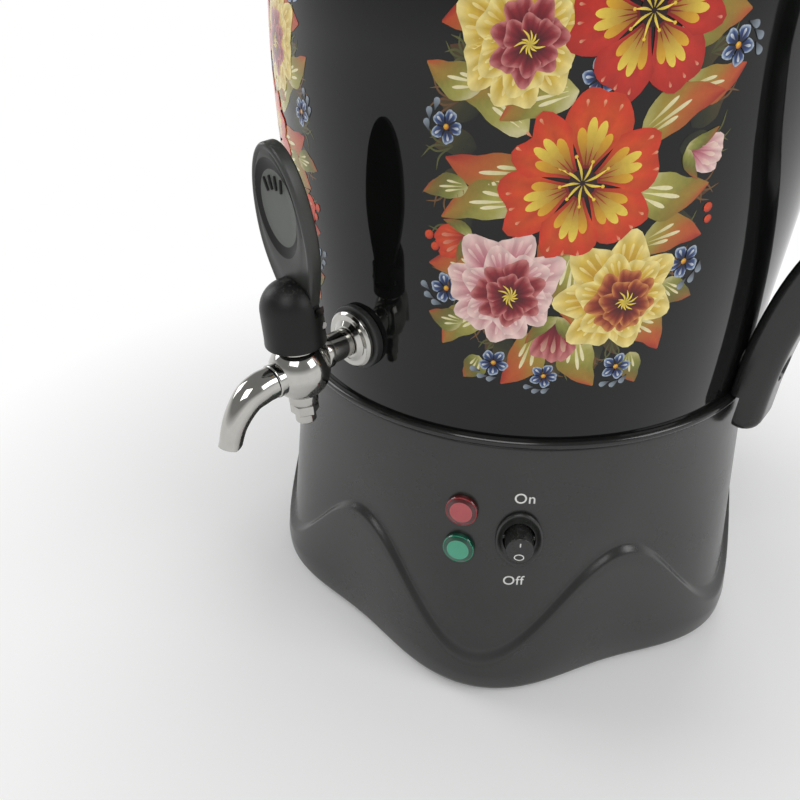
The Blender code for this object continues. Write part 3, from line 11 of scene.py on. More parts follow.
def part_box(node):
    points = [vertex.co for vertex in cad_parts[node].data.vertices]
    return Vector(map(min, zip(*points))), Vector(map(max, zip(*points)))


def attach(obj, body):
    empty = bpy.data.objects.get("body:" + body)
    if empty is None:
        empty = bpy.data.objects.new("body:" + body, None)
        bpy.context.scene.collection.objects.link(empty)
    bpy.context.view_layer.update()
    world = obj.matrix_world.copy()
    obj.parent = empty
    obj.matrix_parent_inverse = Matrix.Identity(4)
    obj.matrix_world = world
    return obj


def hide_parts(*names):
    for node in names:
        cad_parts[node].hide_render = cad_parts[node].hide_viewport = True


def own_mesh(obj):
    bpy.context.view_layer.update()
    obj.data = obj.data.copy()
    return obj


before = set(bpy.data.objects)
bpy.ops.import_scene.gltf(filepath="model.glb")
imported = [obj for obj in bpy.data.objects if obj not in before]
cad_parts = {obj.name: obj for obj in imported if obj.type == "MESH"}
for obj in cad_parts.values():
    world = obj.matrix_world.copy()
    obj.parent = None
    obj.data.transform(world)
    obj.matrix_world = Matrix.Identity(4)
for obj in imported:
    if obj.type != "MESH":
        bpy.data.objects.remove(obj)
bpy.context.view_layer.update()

bl_info = {
    "name": "Electric samovar",
    "version": (1, 0, 0),
    "blender": (4, 5, 0),
    "location": "View3D > Sidebar > Samovar",
    "description": "Dresses the packed samovar with finished pieces, finishes and a studio",
    "category": "Object",
}

MM = 0.001
PLAY = 0.3 * MM
SHEET = 1.0 * MM
SHARP_EDGE = radians(34.0)

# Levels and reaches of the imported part, in metres
SKIRT_TOP = 0.1255
SEAM_LEVEL = 0.1275
TANK_BOTTOM = 0.1295
TANK_TOP = 0.318
RIM_BOTTOM, RIM_TOP = 0.3183, 0.3253
LID_BRIM = 0.3256
LID_TERRACE = 0.3376
LID_TOP = 0.3436
TAP_HEIGHT = 0.158
TAP_REACH = 0.136
FOOT_HEIGHT = 0.0025
UP = Vector((0.0, 0.0, 1.0))
SIDE = Vector((1.0, 0.0, 0.0))


class SamovarSizes(PropertyGroup):
    """Sizes of the samovar that a user would change."""

    base_top: FloatProperty(name="Base top radius", description="Radius of the base under the seam ring",
                            default=0.108, unit="LENGTH")
    base_height: FloatProperty(name="Base height", description="Height of the plastic base above its feet",
                               default=0.123, unit="LENGTH")
    flare: FloatProperty(
        name="Flare", description="How far the base spreads towards its foot", default=0.015, unit="LENGTH")
    lobes: IntProperty(name="Lobes", description="Number of lobes round the base", default=6, min=3)
    lobe_turn: FloatProperty(name="Lobe turn", description="Azimuth of the lobe under the control panel",
                             default=radians(30.0), subtype="ANGLE")
    lobe_depth: FloatProperty(name="Lobe depth", description="How far a lobe stands out at the foot",
                              default=0.006, unit="LENGTH")
    wave_middle: FloatProperty(
        name="Ledge height", description="Mean height of the wavy ledge", default=0.048, unit="LENGTH")
    wave_swing: FloatProperty(
        name="Ledge swing", description="How far the ledge rises and falls", default=0.025, unit="LENGTH")
    ledge_step: FloatProperty(
        name="Ledge step", description="How far the lower part stands out", default=0.003, unit="LENGTH")
    corner: FloatProperty(name="Foot turn-in", description="How far the foot of the base turns in and up",
                          default=0.010, unit="LENGTH")
    wall: FloatProperty(
        name="Wall", description="Wall thickness of the moulded base", default=0.0026, unit="LENGTH")
    tank_radius: FloatProperty(
        name="Tank radius", description="Radius of the tank's straight wall", default=0.1072, unit="LENGTH")
    mouth_radius: FloatProperty(
        name="Mouth radius", description="Radius of the tank's mouth", default=0.084, unit="LENGTH")
    shoulder: FloatProperty(name="Shoulder height", description="Height of the tank's round shoulder",
                            default=0.090, unit="LENGTH")
    round_steps: IntProperty(
        name="Round steps", description="Facets round the tank and the base", default=192, min=48)


class SamovarFinishes(PropertyGroup):
    """Colours of the samovar that a user would change."""

    enamel: FloatVectorProperty(name="Enamel", description="Colour of the tank and the lid",
                                default=(0.0035, 0.004, 0.0035), subtype="COLOR", min=0.0, max=1.0)
    plastic: FloatVectorProperty(name="Plastic", description="Colour of the base and the handles",
                                 default=(0.0165, 0.0178, 0.0160), subtype="COLOR", min=0.0, max=1.0)
    red_lens: FloatVectorProperty(name="Red lens", description="Colour of the upper lamp",
                                  default=(0.56, 0.030, 0.040), subtype="COLOR", min=0.0, max=1.0)
    green_lens: FloatVectorProperty(name="Green lens", description="Colour of the lower lamp",
                                    default=(0.006, 0.42, 0.235), subtype="COLOR", min=0.0, max=1.0)
    legend: FloatVectorProperty(name="Legend", description="Colour of the switch's marks",
                                default=(0.72, 0.72, 0.70), subtype="COLOR", min=0.0, max=1.0)
    floor: FloatVectorProperty(name="Floor", description="Colour of the studio floor",
                               default=(0.92, 0.92, 0.92), subtype="COLOR", min=0.0, max=1.0)


def sizes():
    return bpy.context.scene.samovar_sizes


def finishes():
    return bpy.context.scene.samovar_finishes


# Small geometry

def circle(steps):
    """Angles once round."""
    return [tau * step / steps for step in range(steps)]


def quarter(steps):
    """Angles from nothing to a quarter turn."""
    return [pi / 2 * step / steps for step in range(steps + 1)]


def polar(azimuth, radius, height):
    """A point at an azimuth in radians from -Y towards +X."""
    return Vector((radius * sin(azimuth), -radius * cos(azimuth), height))


def placed(origin, across, up):
    """A frame with x across, y up and z along their cross product."""
    matrix = Matrix((across, up, across.cross(up))).transposed().to_4x4()
    matrix.translation = origin
    return matrix


def at(x, y, z):
    return Matrix.Translation((x, y, z))


def pointing_out(height, reach=0.0):
    """A frame on the tap's side with z along -Y, the way the tap points."""
    return placed(Vector((0.0, -reach, height)), SIDE, UP)


def smooth(share):
    share = min(max(share, 0.0), 1.0)
    return share * share * (3.0 - 2.0 * share)


def rounded(points, steps=4):
    """Round the corners of a line of (x, y) or (x, y, radius) points."""
    flat = [Vector(point[:2]) for point in points]
    line = []
    for index, point in enumerate(points):
        if len(point) < 3:
            line.append(flat[index])
            continue
        before = flat[index - 1] - flat[index]
        after = flat[(index + 1) % len(flat)] - flat[index]
        reach = point[2] / tan(before.angle(after) / 2.0)
        reach = min(reach, 0.48 * before.length, 0.48 * after.length)
        start = flat[index] + reach * before.normalized()
        end = flat[index] + reach * after.normalized()
        for step in range(steps + 1):
            t = step / steps
            line.append((1 - t) ** 2 * start + 2 * t * (1 - t) * flat[index] + t * t * end)
    return [(point.x, point.y) for point in line]


def turned(profile, steps, matrix=None):
    """Turn (radius, height) points about Z: a ring, or a solid that starts and ends on the axis."""
    shape = bmesh.new()
    rings = []
    for radius, height in profile:
        turns = circle(steps) if radius > 1e-7 else [0.0]
        rings.append([shape.verts.new((radius * cos(t), radius * sin(t), height)) for t in turns])
    spans = list(zip(rings, rings[1:]))
    if len(rings[0]) > 1:
        spans.append((rings[-1], rings[0]))
    for low, high in spans:
        for step in range(steps):
            after = (step + 1) % steps
            corners = [low[step % len(low)], low[after % len(low)], high[after % len(high)],
                       high[step % len(high)]]
            unique = list(dict.fromkeys(corners))
            if len(unique) > 2:
                shape.faces.new(unique)
    if matrix is not None:
        shape.transform(matrix)
    return shape


def lofted(sections, closed=False, matrix=None, fan=True):
    """Bridge equal loops of points, with caps on the ends unless the loops close on themselves."""
    shape = bmesh.new()
    loops = [[shape.verts.new(point) for point in section] for section in sections]
    spans = list(zip(loops, loops[1:]))
    if closed:
        spans.append((loops[-1], loops[0]))
    else:
        for end in (loops[0], loops[-1]):
            if fan and len(end) > 8:
                middle = shape.verts.new(sum((vert.co for vert in end), Vector()) / len(end))
                for index in range(len(end)):
                    shape.faces.new((end[index], end[(index + 1) % len(end)], middle))
            else:
                shape.faces.new(end)
    for near, far in spans:
        for index in range(len(near)):
            after = (index + 1) % len(near)
            shape.faces.new((near[index], near[after], far[after], far[index]))
    if matrix is not None:
        shape.transform(matrix)
    return shape


def cylinder(radius, low, high, steps=48, matrix=None):
    return turned([(0.0, high), (radius, high), (radius, low), (0.0, low)], steps, matrix)


def block(low, high, matrix=None):
    outline = [(low[0], low[1]), (high[0], low[1]), (high[0], high[1]), (low[0], high[1])]
    return lofted([[(x, y, z) for x, y in outline] for z in (low[2], high[2])], matrix=matrix)


def ellipse(half_width, half_height, level, steps=64):
    return [(half_width * cos(t), half_height * sin(t), level) for t in circle(steps)]


def hexagon(across_flats, inset=0.0):
    radius = across_flats / sqrt(3.0) - inset
    return [(radius * cos(t), radius * sin(t)) for t in circle(6)]


def outline_box(half_width, half_tall, level, corner, steps=5):
    """A rectangle with rounded corners as a loop of points."""
    points = [(half_width, -half_tall, corner), (half_width, half_tall, corner),
              (-half_width, half_tall, corner), (-half_width, -half_tall, corner)]
    return [(x, y, level) for x, y in rounded(points, steps)]


def smooth_path(points, spans):
    """Points along a Catmull-Rom curve through the given ones."""
    ends = [2 * points[0] - points[1], *points, 2 * points[-1] - points[-2]]
    path = []
    for before, start, end, after in zip(ends, ends[1:], ends[2:], ends[3:]):
        for step in range(spans):
            t = step / spans
            path.append(0.5 * (2 * start + (end - before) * t
                               + (2 * before - 5 * start + 4 * end - after) * t ** 2
                               + (3 * start - before - 3 * end + after) * t ** 3))
    path.append(points[-1])
    return path


def directions(path):
    ends = [path[0], *path, path[-1]]
    return [(after - before).normalized() for before, after in zip(ends, ends[2:])]


def rings_along(path, radii, side, steps):
    rings = []
    for point, along, radius in zip(path, directions(path), radii):
        across = along.cross(side).normalized()
        up = across.cross(along)
        rings.append([point + radius * (cos(t) * across + sin(t) * up) for t in circle(steps)])
    return rings


# Meshes and pieces

def linked(name, data):
    """An object with its data, in the scene."""
    item = bpy.data.objects.new(name, data)
    bpy.context.scene.collection.objects.link(item)
    return item


def shape_of(mesh):
    shape = bmesh.new()
    shape.from_mesh(mesh)
    return shape


def store(shape, mesh):
    shape.to_mesh(mesh)
    shape.free()
    return mesh


def plain_object(name, shape):
    """A bmesh as an object at the origin."""
    return linked(name, store(shape, bpy.data.meshes.new(name)))


def face_out(shape):
    bmesh.ops.recalc_face_normals(shape, faces=shape.faces)


def mesh_object(name, shape):
    """A bmesh as an object with its doubles merged and its faces pointing out."""
    bmesh.ops.remove_doubles(shape, verts=shape.verts, dist=1e-7)
    face_out(shape)
    return plain_object(name, shape)


def evaluated_mesh(item):
    graph = bpy.context.evaluated_depsgraph_get()
    return bpy.data.meshes.new_from_object(item.evaluated_get(graph), depsgraph=graph)


def settle(item):
    """Replace an object's mesh by its evaluated one and drop the modifiers."""
    mesh = evaluated_mesh(item)
    item.modifiers.clear()
    item.data = mesh


def combined(item, operation, tools):
    """One Boolean of an object with a group of tool shapes."""
    group = bpy.data.collections.new(f"{item.name}_{operation.lower()}")
    made = [mesh_object(f"{item.name}_tool_{index}", tool) for index, tool in enumerate(tools)]
    for tool in made:
        group.objects.link(tool)
    modifier = item.modifiers.new(operation, "BOOLEAN")
    modifier.operation = operation
    modifier.solver = "EXACT"
    modifier.operand_type = "COLLECTION"
    modifier.collection = group
    settle(item)
    for tool in made:
        bpy.data.objects.remove(tool, do_unlink=True)
    bpy.data.collections.remove(group)


def finished(item, material, slot, nodes=(), body="samovar"):
    """Shade a piece, give it its finish and put it on its body in place of CAD nodes."""
    if material is not None:
        item.data.materials.clear()
        item.data.materials.append(material)
    item.data.shade_smooth()
    item.data.set_sharp_from_angle(angle=SHARP_EDGE)
    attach(item, body)
    if nodes:
        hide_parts(*nodes)


def piece(name, shape, *finish_and_place):
    """A shape as a finished piece."""
    finished(mesh_object(name, shape), *finish_and_place)


def second_finish(item, material, chosen):
    """Give the chosen faces of a piece another finish."""
    item.data.materials.append(material)
    for face in item.data.polygons:
        if chosen(face):
            face.material_index = len(item.data.materials) - 1


# Node trees

def fill(tree, target, values):
    """Feed a node's inputs, found by label or number, with links from sockets or with plain values."""
    for label, value in dict(values).items():
        if isinstance(value, bpy.types.NodeSocket):
            tree.links.new(value, target.inputs[label])
        else:
            target.inputs[label].default_value = value


def node(tree, kind, values=(), **settings):
    """A node with its settings and its inputs."""
    made = tree.nodes.new(kind)
    for label, value in settings.items():
        setattr(made, label, value)
    fill(tree, made, values)
    return made


def math_node(tree, operation, first, second=None):
    values = {0: first} if second is None else {0: first, 1: second}
    return node(tree, "ShaderNodeMath", values, operation=operation).outputs[0]


def add_sockets(tree, inputs, outputs):
    for label, kind, *value in inputs:
        socket = tree.interface.new_socket(label, in_out="INPUT", socket_type=f"NodeSocket{kind}")
        if value:
            socket.default_value = value[0]
    for label, kind in outputs:
        tree.interface.new_socket(label, in_out="OUTPUT", socket_type=f"NodeSocket{kind}")


def geometry_tree(name, inputs):
    """A Geometry Nodes tree with a geometry, named inputs and a material, and its input sockets."""
    tree = bpy.data.node_groups.new(name, "GeometryNodeTree")
    geometry = ("Geometry", "Geometry")
    add_sockets(tree, [geometry, *inputs, ("Material", "Material")], [geometry])
    return tree, tree.nodes.new("NodeGroupInput").outputs


def close_tree(tree, geometry, material):
    """End a tree in Realize Instances and Set Material."""
    whole = node(tree, "GeometryNodeRealizeInstances", {0: geometry})
    painted = node(tree, "GeometryNodeSetMaterial", {"Geometry": whole.outputs[0], "Material": material})
    node(tree, "NodeGroupOutput", {0: painted.outputs[0]})


def grown(item, tree, values):
    """Run a tree on an object with the given input values, and keep the result as a plain mesh."""
    modifier = item.modifiers.new(tree.name, "NODES")
    modifier.node_group = tree
    for socket in tree.interface.items_tree:
        if socket.in_out == "INPUT" and socket.name in values:
            modifier[socket.identifier] = values[socket.name]
    settle(item)


def attribute(tree, name, kind="FLOAT"):
    return node(tree, "GeometryNodeInputNamedAttribute", {"Name": name}, data_type=kind).outputs["Attribute"]


def skirt_tree():
    """Places a strip of rows on the lobed skirt: each row follows the wavy ledge by its own share."""
    labels = (
        "Top radius", "Top level", "Height", "Flare", "Lobes", "Lobe turn", "Lobe depth", "Wave middle",
        "Wave swing", "Corner level")
    tree, value = geometry_tree("lobed_skirt", [(label, "Float") for label in labels])

    def op(operation, first, second=None):
        return math_node(tree, operation, first, second)

    turn = attribute(tree, "turn")
    swing = op("COSINE", op("MULTIPLY", op("SUBTRACT", turn, value["Lobe turn"]), value["Lobes"]))
    wave = op("SUBTRACT", value["Wave middle"], op("MULTIPLY", swing, value["Wave swing"]))
    share = attribute(tree, "share")
    level = op("ADD", op("MULTIPLY", attribute(tree, "level"), op("SUBTRACT", 1.0, share)),
               op("MULTIPLY", wave, share))
    softness = op("ADD", 1.0, op("MULTIPLY", 0.9, op("POWER", op("MAXIMUM", swing, 0.0), 2.0)))
    level = op("ADD", level, op("MULTIPLY", attribute(tree, "spread"), softness))
    drop = op("DIVIDE", op("SUBTRACT", value["Top level"], op("MAXIMUM", level, value["Corner level"])),
              value["Height"])
    lobe = op("ADD", value["Flare"], op("MULTIPLY", swing, value["Lobe depth"]))
    radius = op("ADD", op("ADD", value["Top radius"], op("MULTIPLY", drop, lobe)), attribute(tree, "outset"))
    place = node(tree, "ShaderNodeCombineXYZ", {
        0: op("MULTIPLY", radius, op("SINE", turn)),
        1: op("MULTIPLY", op("MULTIPLY", radius, -1.0), op("COSINE", turn)), 2: level})
    move = node(
        tree, "GeometryNodeSetPosition", {"Geometry": value["Geometry"], "Position": place.outputs[0]})
    close_tree(tree, move.outputs[0], value["Material"])
    return tree


def copies_tree():
    """Sets a copy of one object on every point, turned by the points' own aim."""
    tree, value = geometry_tree("copies_on_points", [("Copy", "Object")])
    info = node(tree, "GeometryNodeObjectInfo", {"Object": value["Copy"]})
    points = node(tree, "GeometryNodeMeshToPoints", {"Mesh": value["Geometry"]})
    sown = node(tree, "GeometryNodeInstanceOnPoints", {
        "Points": points.outputs[0], "Instance": info.outputs["Geometry"],
        "Rotation": attribute(tree, "aim", "FLOAT_VECTOR")})
    close_tree(tree, sown.outputs[0], value["Material"])
    return tree


def copies(name, shape, spots, material):
    """One mesh of many like shapes, each placed by a matrix, made with Geometry Nodes."""
    seed = mesh_object(name + "_seed", shape)
    seed.data.shade_smooth()
    mesh = bpy.data.meshes.new(name)
    mesh.from_pydata([spot.translation for spot in spots], [], [])
    aims = mesh.attributes.new("aim", "FLOAT_VECTOR", "POINT")
    for index, spot in enumerate(spots):
        aims.data[index].vector = spot.to_euler()
    item = linked(name, mesh)
    tree = bpy.data.node_groups.get("copies_on_points") or copies_tree()
    grown(item, tree, {"Copy": seed, "Material": material})
    bpy.data.objects.remove(seed, do_unlink=True)
    return item


# Shared shapes of the object

def lobe_swing(azimuth):
    return cos(sizes().lobes * (azimuth - sizes().lobe_turn))


def skirt_radius(azimuth, height):
    """Radius of the base's skirt above the ledge."""
    own = sizes()
    return own.base_top + (SKIRT_TOP - height) / own.base_height * (
        own.flare + own.lobe_depth * lobe_swing(azimuth))


def lip_radius(azimuth):
    own = sizes()
    return skirt_radius(azimuth, FOOT_HEIGHT + own.corner) + own.ledge_step - own.corner


def on_skirt(azimuth, height):
    """A frame on the skirt above the ledge: x across, y up the wall, z outwards."""
    own = sizes()
    rise = atan((own.flare + own.lobe_depth * lobe_swing(azimuth)) / own.base_height)
    across = Vector((cos(azimuth), sin(azimuth), 0.0))
    up = Vector((-sin(azimuth) * sin(rise), cos(azimuth) * sin(rise), cos(rise)))
    return placed(polar(azimuth, skirt_radius(azimuth, height), height), across, up)


def shoulder_start():
    return TANK_TOP - 3 * MM - sizes().shoulder


def tank_radius_at(height):
    own = sizes()
    rise = (height - shoulder_start()) / own.shoulder
    rise = min(max(rise, 0.0), 1.0)
    return own.mouth_radius + (own.tank_radius - own.mouth_radius) * (1.0 - rise ** 2.6) ** 0.6


def tank_side(offset, rows=36):
    """The tank's side from bottom to mouth as (radius, height), moved out by an offset."""
    own = sizes()
    start = shoulder_start()
    levels = [TANK_BOTTOM + (start - TANK_BOTTOM) * step / 12 for step in range(12)]
    levels += [start + own.shoulder * sin(t) for t in quarter(rows)] + [TANK_TOP]
    points = [Vector((tank_radius_at(level), level)) for level in levels]
    moved = []
    for point, along in zip(points, directions(points)):
        moved.append(point + offset * Vector((along.y, -along.x)))
    moved[0].y = TANK_BOTTOM
    moved[-1] = Vector((own.mouth_radius + offset, TANK_TOP))
    return [(point.x, point.y) for point in moved]


def tank_envelope():
    """A solid that keeps pieces on the outside clear of the tank, the seam ring and the base's top."""
    own = sizes()
    step = own.tank_radius + 4.8 * MM
    side = list(reversed(tank_side(PLAY)))
    low = TANK_BOTTOM - 0.1
    profile = [(0.0, side[0][1]), *side[:-1], (side[-1][0], TANK_BOTTOM + PLAY),
               (step, TANK_BOTTOM + PLAY), (step, low), (0.0, low)]
    return turned(profile, own.round_steps)


# Finishes

MADE = {}
DUST_COLOUR = (0.42, 0.41, 0.39, 1.0)


def group_of(name, inputs, outputs, build):
    """A shader node group, made once."""
    tree = bpy.data.node_groups.get(name)
    if tree is None:
        tree = bpy.data.node_groups.new(name, "ShaderNodeTree")
        add_sockets(tree, inputs, outputs)
        fill(tree, tree.nodes.new("NodeGroupOutput"), build(tree, tree.nodes.new("NodeGroupInput").outputs))
    return tree


def noise(tree, vector, scale, detail, rough):
    values = {"Vector": vector, "Scale": scale, "Detail": detail, "Roughness": rough}
    return node(tree, "ShaderNodeTexNoise", values).outputs["Fac"]


def ranged(tree, value, low, high, to_low=0.0, to_high=1.0):
    labels = ("Value", "From Min", "From Max", "To Min", "To Max")
    return node(tree, "ShaderNodeMapRange", zip(labels, (value, low, high, to_low, to_high))).outputs[0]


def mixed(tree, share, first, second, blend="MIX"):
    values = {0: share, 6: first, 7: second}
    return node(tree, "ShaderNodeMix", values, data_type="RGBA", blend_type=blend).outputs[2]


def grain_group():
    """Fine moulded grain: a height for bump and a slow tone for colour and gloss."""
    def build(tree, source):
        fine = noise(tree, source["Vector"], source["Grain scale"], 2.0, 0.6)
        slow = noise(tree, source["Vector"], source["Tone scale"], 4.0, 0.55)
        return {"Height": fine, "Tone": ranged(tree, slow, 0.3, 0.7)}
    return group_of("moulded_grain", [("Vector", "Vector"), ("Grain scale", "Float", 2500.0),
                                      ("Tone scale", "Float", 40.0)],
                    [("Height", "Float"), ("Tone", "Float")], build)


def handling_group():
    """Marks of use: soft smudges that change the gloss, and a thin dust on faces that look up."""
    def build(tree, source):
        big = noise(tree, source["Vector"], source["Smudge scale"], 5.0, 0.6)
        fine = noise(tree, source["Vector"], 900.0, 2.0, 0.7)
        normal = node(tree, "ShaderNodeNewGeometry").outputs["Normal"]
        split = node(tree, "ShaderNodeSeparateXYZ", {0: normal})
        level = ranged(tree, split.outputs["Z"], 0.55, 1.0)
        specks = ranged(tree, fine, 0.52, 0.75)
        dust = math_node(tree, "MULTIPLY", level, math_node(tree, "MULTIPLY", specks, source["Dust"]))
        return {"Gloss": ranged(tree, big, 0.35, 0.7, source["Low"], source["High"]), "Dust": dust}
    return group_of("handling_marks", [
        ("Vector", "Vector"), ("Smudge scale", "Float", 30.0), ("Low", "Float", 0.1),
        ("High", "Float", 0.2), ("Dust", "Float", 0.2)], [("Gloss", "Float"), ("Dust", "Float")], build)


def grain_on(tree, vector, scale, tone):
    values = {"Vector": vector, "Grain scale": scale, "Tone scale": tone}
    return node(tree, "ShaderNodeGroup", values, node_tree=grain_group()).outputs


def marks_on(tree, vector, scale, gloss, dust):
    values = {"Vector": vector, "Smudge scale": scale, "Low": gloss[0], "High": gloss[1], "Dust": dust}
    return node(tree, "ShaderNodeGroup", values, node_tree=handling_group()).outputs


def new_material(name):
    """A material, its tree, its shader and the socket of the place on the piece."""
    material = MADE[name] = bpy.data.materials.new(name)
    material.use_nodes = True
    tree = material.node_tree
    where = node(tree, "ShaderNodeTexCoord").outputs["Object"]
    return material, tree, tree.nodes["Principled BSDF"], where


def finish(name, colour, second, gloss, grain=(2500.0, 0.0), dust=0.15, metallic=0.0, smudge=30.0,
           tone=40.0, constants=(), brushed=None):
    """A material with two tones of colour, smudged gloss, dust on top and, if given, moulded grain."""
    if name in MADE:
        return MADE[name]
    material, tree, shader, where = new_material(name)
    grain_where = where
    if brushed is not None:
        grain_where = node(tree, "ShaderNodeMapping", {"Vector": where, "Scale": brushed}).outputs[0]
    size, strength = grain
    detail = grain_on(tree, grain_where, size, tone)
    marks = marks_on(tree, where, smudge, gloss, dust)
    base = mixed(tree, detail["Tone"], (*colour, 1.0), (*second, 1.0))
    base = mixed(tree, marks["Dust"], base, DUST_COLOUR)
    dull = math_node(tree, "ADD", marks["Gloss"], math_node(tree, "MULTIPLY", marks["Dust"], 0.4))
    fill(tree, shader, {"Metallic": metallic, "Base Color": base, "Roughness": dull, **dict(constants)})
    if strength > 0.0:
        values = {"Strength": strength, "Distance": 0.2 * MM, "Height": detail["Height"]}
        fill(tree, shader, {"Normal": node(tree, "ShaderNodeBump", values).outputs[0]})
    return material


def shade(colour, factor):
    return tuple(min(1.0, part * factor) for part in colour)


def tinted(name, colour, first, second, gloss, **more):
    """A finish in two shades of one colour."""
    return finish(name, shade(colour, first), shade(colour, second), gloss, **more)


def enamel_finish():
    return tinted("glossy_enamel", finishes().enamel, 1.0, 1.5, (0.03, 0.07), grain=(140.0, 0.05), dust=0.05,
                  constants={"Specular IOR Level": 0.34})


def plastic_finish():
    return tinted(
        "base_plastic", finishes().plastic, 1.0, 1.25, (0.22, 0.30), grain=(2600.0, 0.08), dust=0.08)


def handle_finish():
    return tinted(
        "handle_plastic", finishes().plastic, 0.8, 1.0, (0.20, 0.30), grain=(2200.0, 0.08), dust=0.08)


# The lever's plastic is painted lighter than the base's, standing for the light on its blade: painted light.
def lever_painted_light_finish():
    return tinted("lever_plastic", finishes().plastic, 1.6, 2.0, (0.30, 0.40), grain=(3000.0, 0.12))


def bonnet_finish():
    return tinted("bonnet_plastic", finishes().plastic, 0.2, 0.3, (0.34, 0.44), grain=(3000.0, 0.12),
                  constants={"Specular IOR Level": 0.3})


# The pad, painted far lighter than the lever to stand for the light on its tilted floor: painted light.
def pad_painted_light_finish():
    return tinted("lever_pad", finishes().plastic, 5.2, 6.0, (0.42, 0.52), grain=(3000.0, 0.2))


def legend_finish():
    return tinted("white_legend", finishes().legend, 1.0, 0.85, (0.4, 0.55), dust=0.05)


def lens_finish(name, colour):
    return tinted(name, colour, 1.0, 0.7, (0.08, 0.16), dust=0.05, grain=(800.0, 0.04), constants={
        "Transmission Weight": 0.35, "IOR": 1.49, "Coat Weight": 0.5, "Coat Roughness": 0.05})


def face_finish(name, colour):
    return tinted(name, colour, 1.0, 0.85, (0.25, 0.4), dust=0.05)


def rubber_finish():
    return finish("soft_rubber", (0.012, 0.012, 0.012), (0.020, 0.020, 0.019), (0.42, 0.58),
                  grain=(1600.0, 0.15), dust=0.2)


def bead_finish():
    return finish("seam_bead", (0.008, 0.008, 0.008), (0.013, 0.013, 0.012), (0.10, 0.18), dust=0.02)


def chrome_finish():
    return finish(
        "tap_chrome", (0.50, 0.492, 0.465), (0.43, 0.422, 0.398), (0.05, 0.12), grain=(160.0, 0.04),
        dust=0.05, metallic=1.0, smudge=90.0, tone=120.0)


def steel_finish():
    return finish("bright_steel", (0.60, 0.59, 0.57), (0.48, 0.47, 0.45), (0.22, 0.36), grain=(700.0, 0.12),
                  dust=0.05, metallic=1.0, smudge=60.0, brushed=(0.08, 1.0, 1.0))


def aluminium_finish():
    return finish("plain_aluminium", (0.66, 0.66, 0.66), (0.52, 0.52, 0.52), (0.32, 0.5),
                  grain=(900.0, 0.12), dust=0.05, metallic=1.0)


def brass_finish():
    return finish("plain_brass", (0.72, 0.54, 0.24), (0.55, 0.38, 0.15), (0.2, 0.36), grain=(900.0, 0.1),
                  dust=0.05, metallic=1.0)


def phenolic_finish():
    return finish("moulded_phenolic", (0.50, 0.45, 0.36), (0.60, 0.55, 0.45), (0.5, 0.65),
                  grain=(1200.0, 0.15), dust=0.1)


def silicone_finish():
    return finish("milky_silicone", (0.62, 0.62, 0.58), (0.72, 0.72, 0.68), (0.4, 0.55), dust=0.1,
                  constants={"Subsurface Weight": 0.3, "Subsurface Scale": 0.002})


def paint_finish():
    """The printed flowers: colours carried by the strokes, a little less glossy than the enamel."""
    name = "flower_print"
    if name in MADE:
        return MADE[name]
    material, tree, shader, where = new_material(name)
    paint = node(tree, "ShaderNodeAttribute", attribute_name="paint").outputs["Color"]
    worn = math_node(tree, "MULTIPLY", grain_on(tree, where, 900.0, 700.0)["Tone"], 0.22)
    base = mixed(tree, worn, paint, (0.55, 0.5, 0.45, 1.0), "MULTIPLY")
    gloss = marks_on(tree, where, 30.0, (0.14, 0.22), 0.02)["Gloss"]
    fill(tree, shader, {"Specular IOR Level": 0.42, "Base Color": base, "Roughness": gloss})
    return material


# Base, seam ring and underside

def housing_rows():
    """The housing's wall as rows of (level, share of the wave, spread, outset), once round the section."""
    own = sizes()
    top, corner_level = SKIRT_TOP, FOOT_HEIGHT + own.corner
    edge, flange, half = 1.5 * MM, 10.0 * MM, 2.2 * MM
    rows = [(top, 0.0, 0.0, -flange)]
    for turn in quarter(5):
        rows.append((top - edge + edge * cos(turn), 0.0, 0.0, edge * (sin(turn) - 1.0)))
    for step in range(1, 14):
        rows.append((top - edge, step / 14, half * step / 14, 0.0))
    for step in range(13):
        share = step / 12
        rows.append((0.0, 1.0, half * (1.0 - 2.0 * share), own.ledge_step * smooth(share)))
    for step in range(1, 9):
        share = step / 9
        rows.append((corner_level, 1.0 - share, -half * (1.0 - share), own.ledge_step))
    foot = 0.5 * own.corner
    for turn in quarter(9):
        rows.append(
            (FOOT_HEIGHT + foot * (1.0 - sin(turn)), 0.0, 0.0, own.ledge_step - foot * (1.0 - cos(turn))))
    rows.append((FOOT_HEIGHT, 0.0, 0.0, own.ledge_step - own.corner))
    bend = own.corner - own.wall
    for turn in reversed(quarter(4)):
        rows.append(
            (corner_level - bend * sin(turn), 0.0, 0.0, own.ledge_step - own.corner + bend * cos(turn)))
    for share in (0.5, 0.9):
        rows.append((corner_level, share, -half * share, own.ledge_step - own.wall))
    for share in (0.0, 0.5, 1.0):
        rows.append((0.0, 1.0, half * (2.0 * share - 1.0), own.ledge_step * (1.0 - share) - own.wall))
    for share in (0.66, 0.33):
        rows.append((top - edge, share, half * share, -own.wall))
    rows.append((top - own.wall, 0.0, 0.0, -own.wall))
    rows.append((top - own.wall, 0.0, 0.0, -flange))
    return rows


def skirt_values(material):
    own = sizes()
    return {"Top radius": own.base_top, "Top level": SKIRT_TOP, "Height": own.base_height,
            "Flare": own.flare, "Lobes": float(own.lobes), "Lobe turn": own.lobe_turn,
            "Lobe depth": own.lobe_depth, "Wave middle": own.wave_middle, "Wave swing": own.wave_swing,
            "Corner level": FOOT_HEIGHT + own.corner, "Material": material}


PANEL_LAMPS = (("red", 0.0959), ("green", 0.0781))
LAMP_AZIMUTH = radians(25.4)
SWITCH_AZIMUTH = radians(37.0)
SWITCH_HEIGHT = 0.0853
INLET_HEIGHT = 0.045


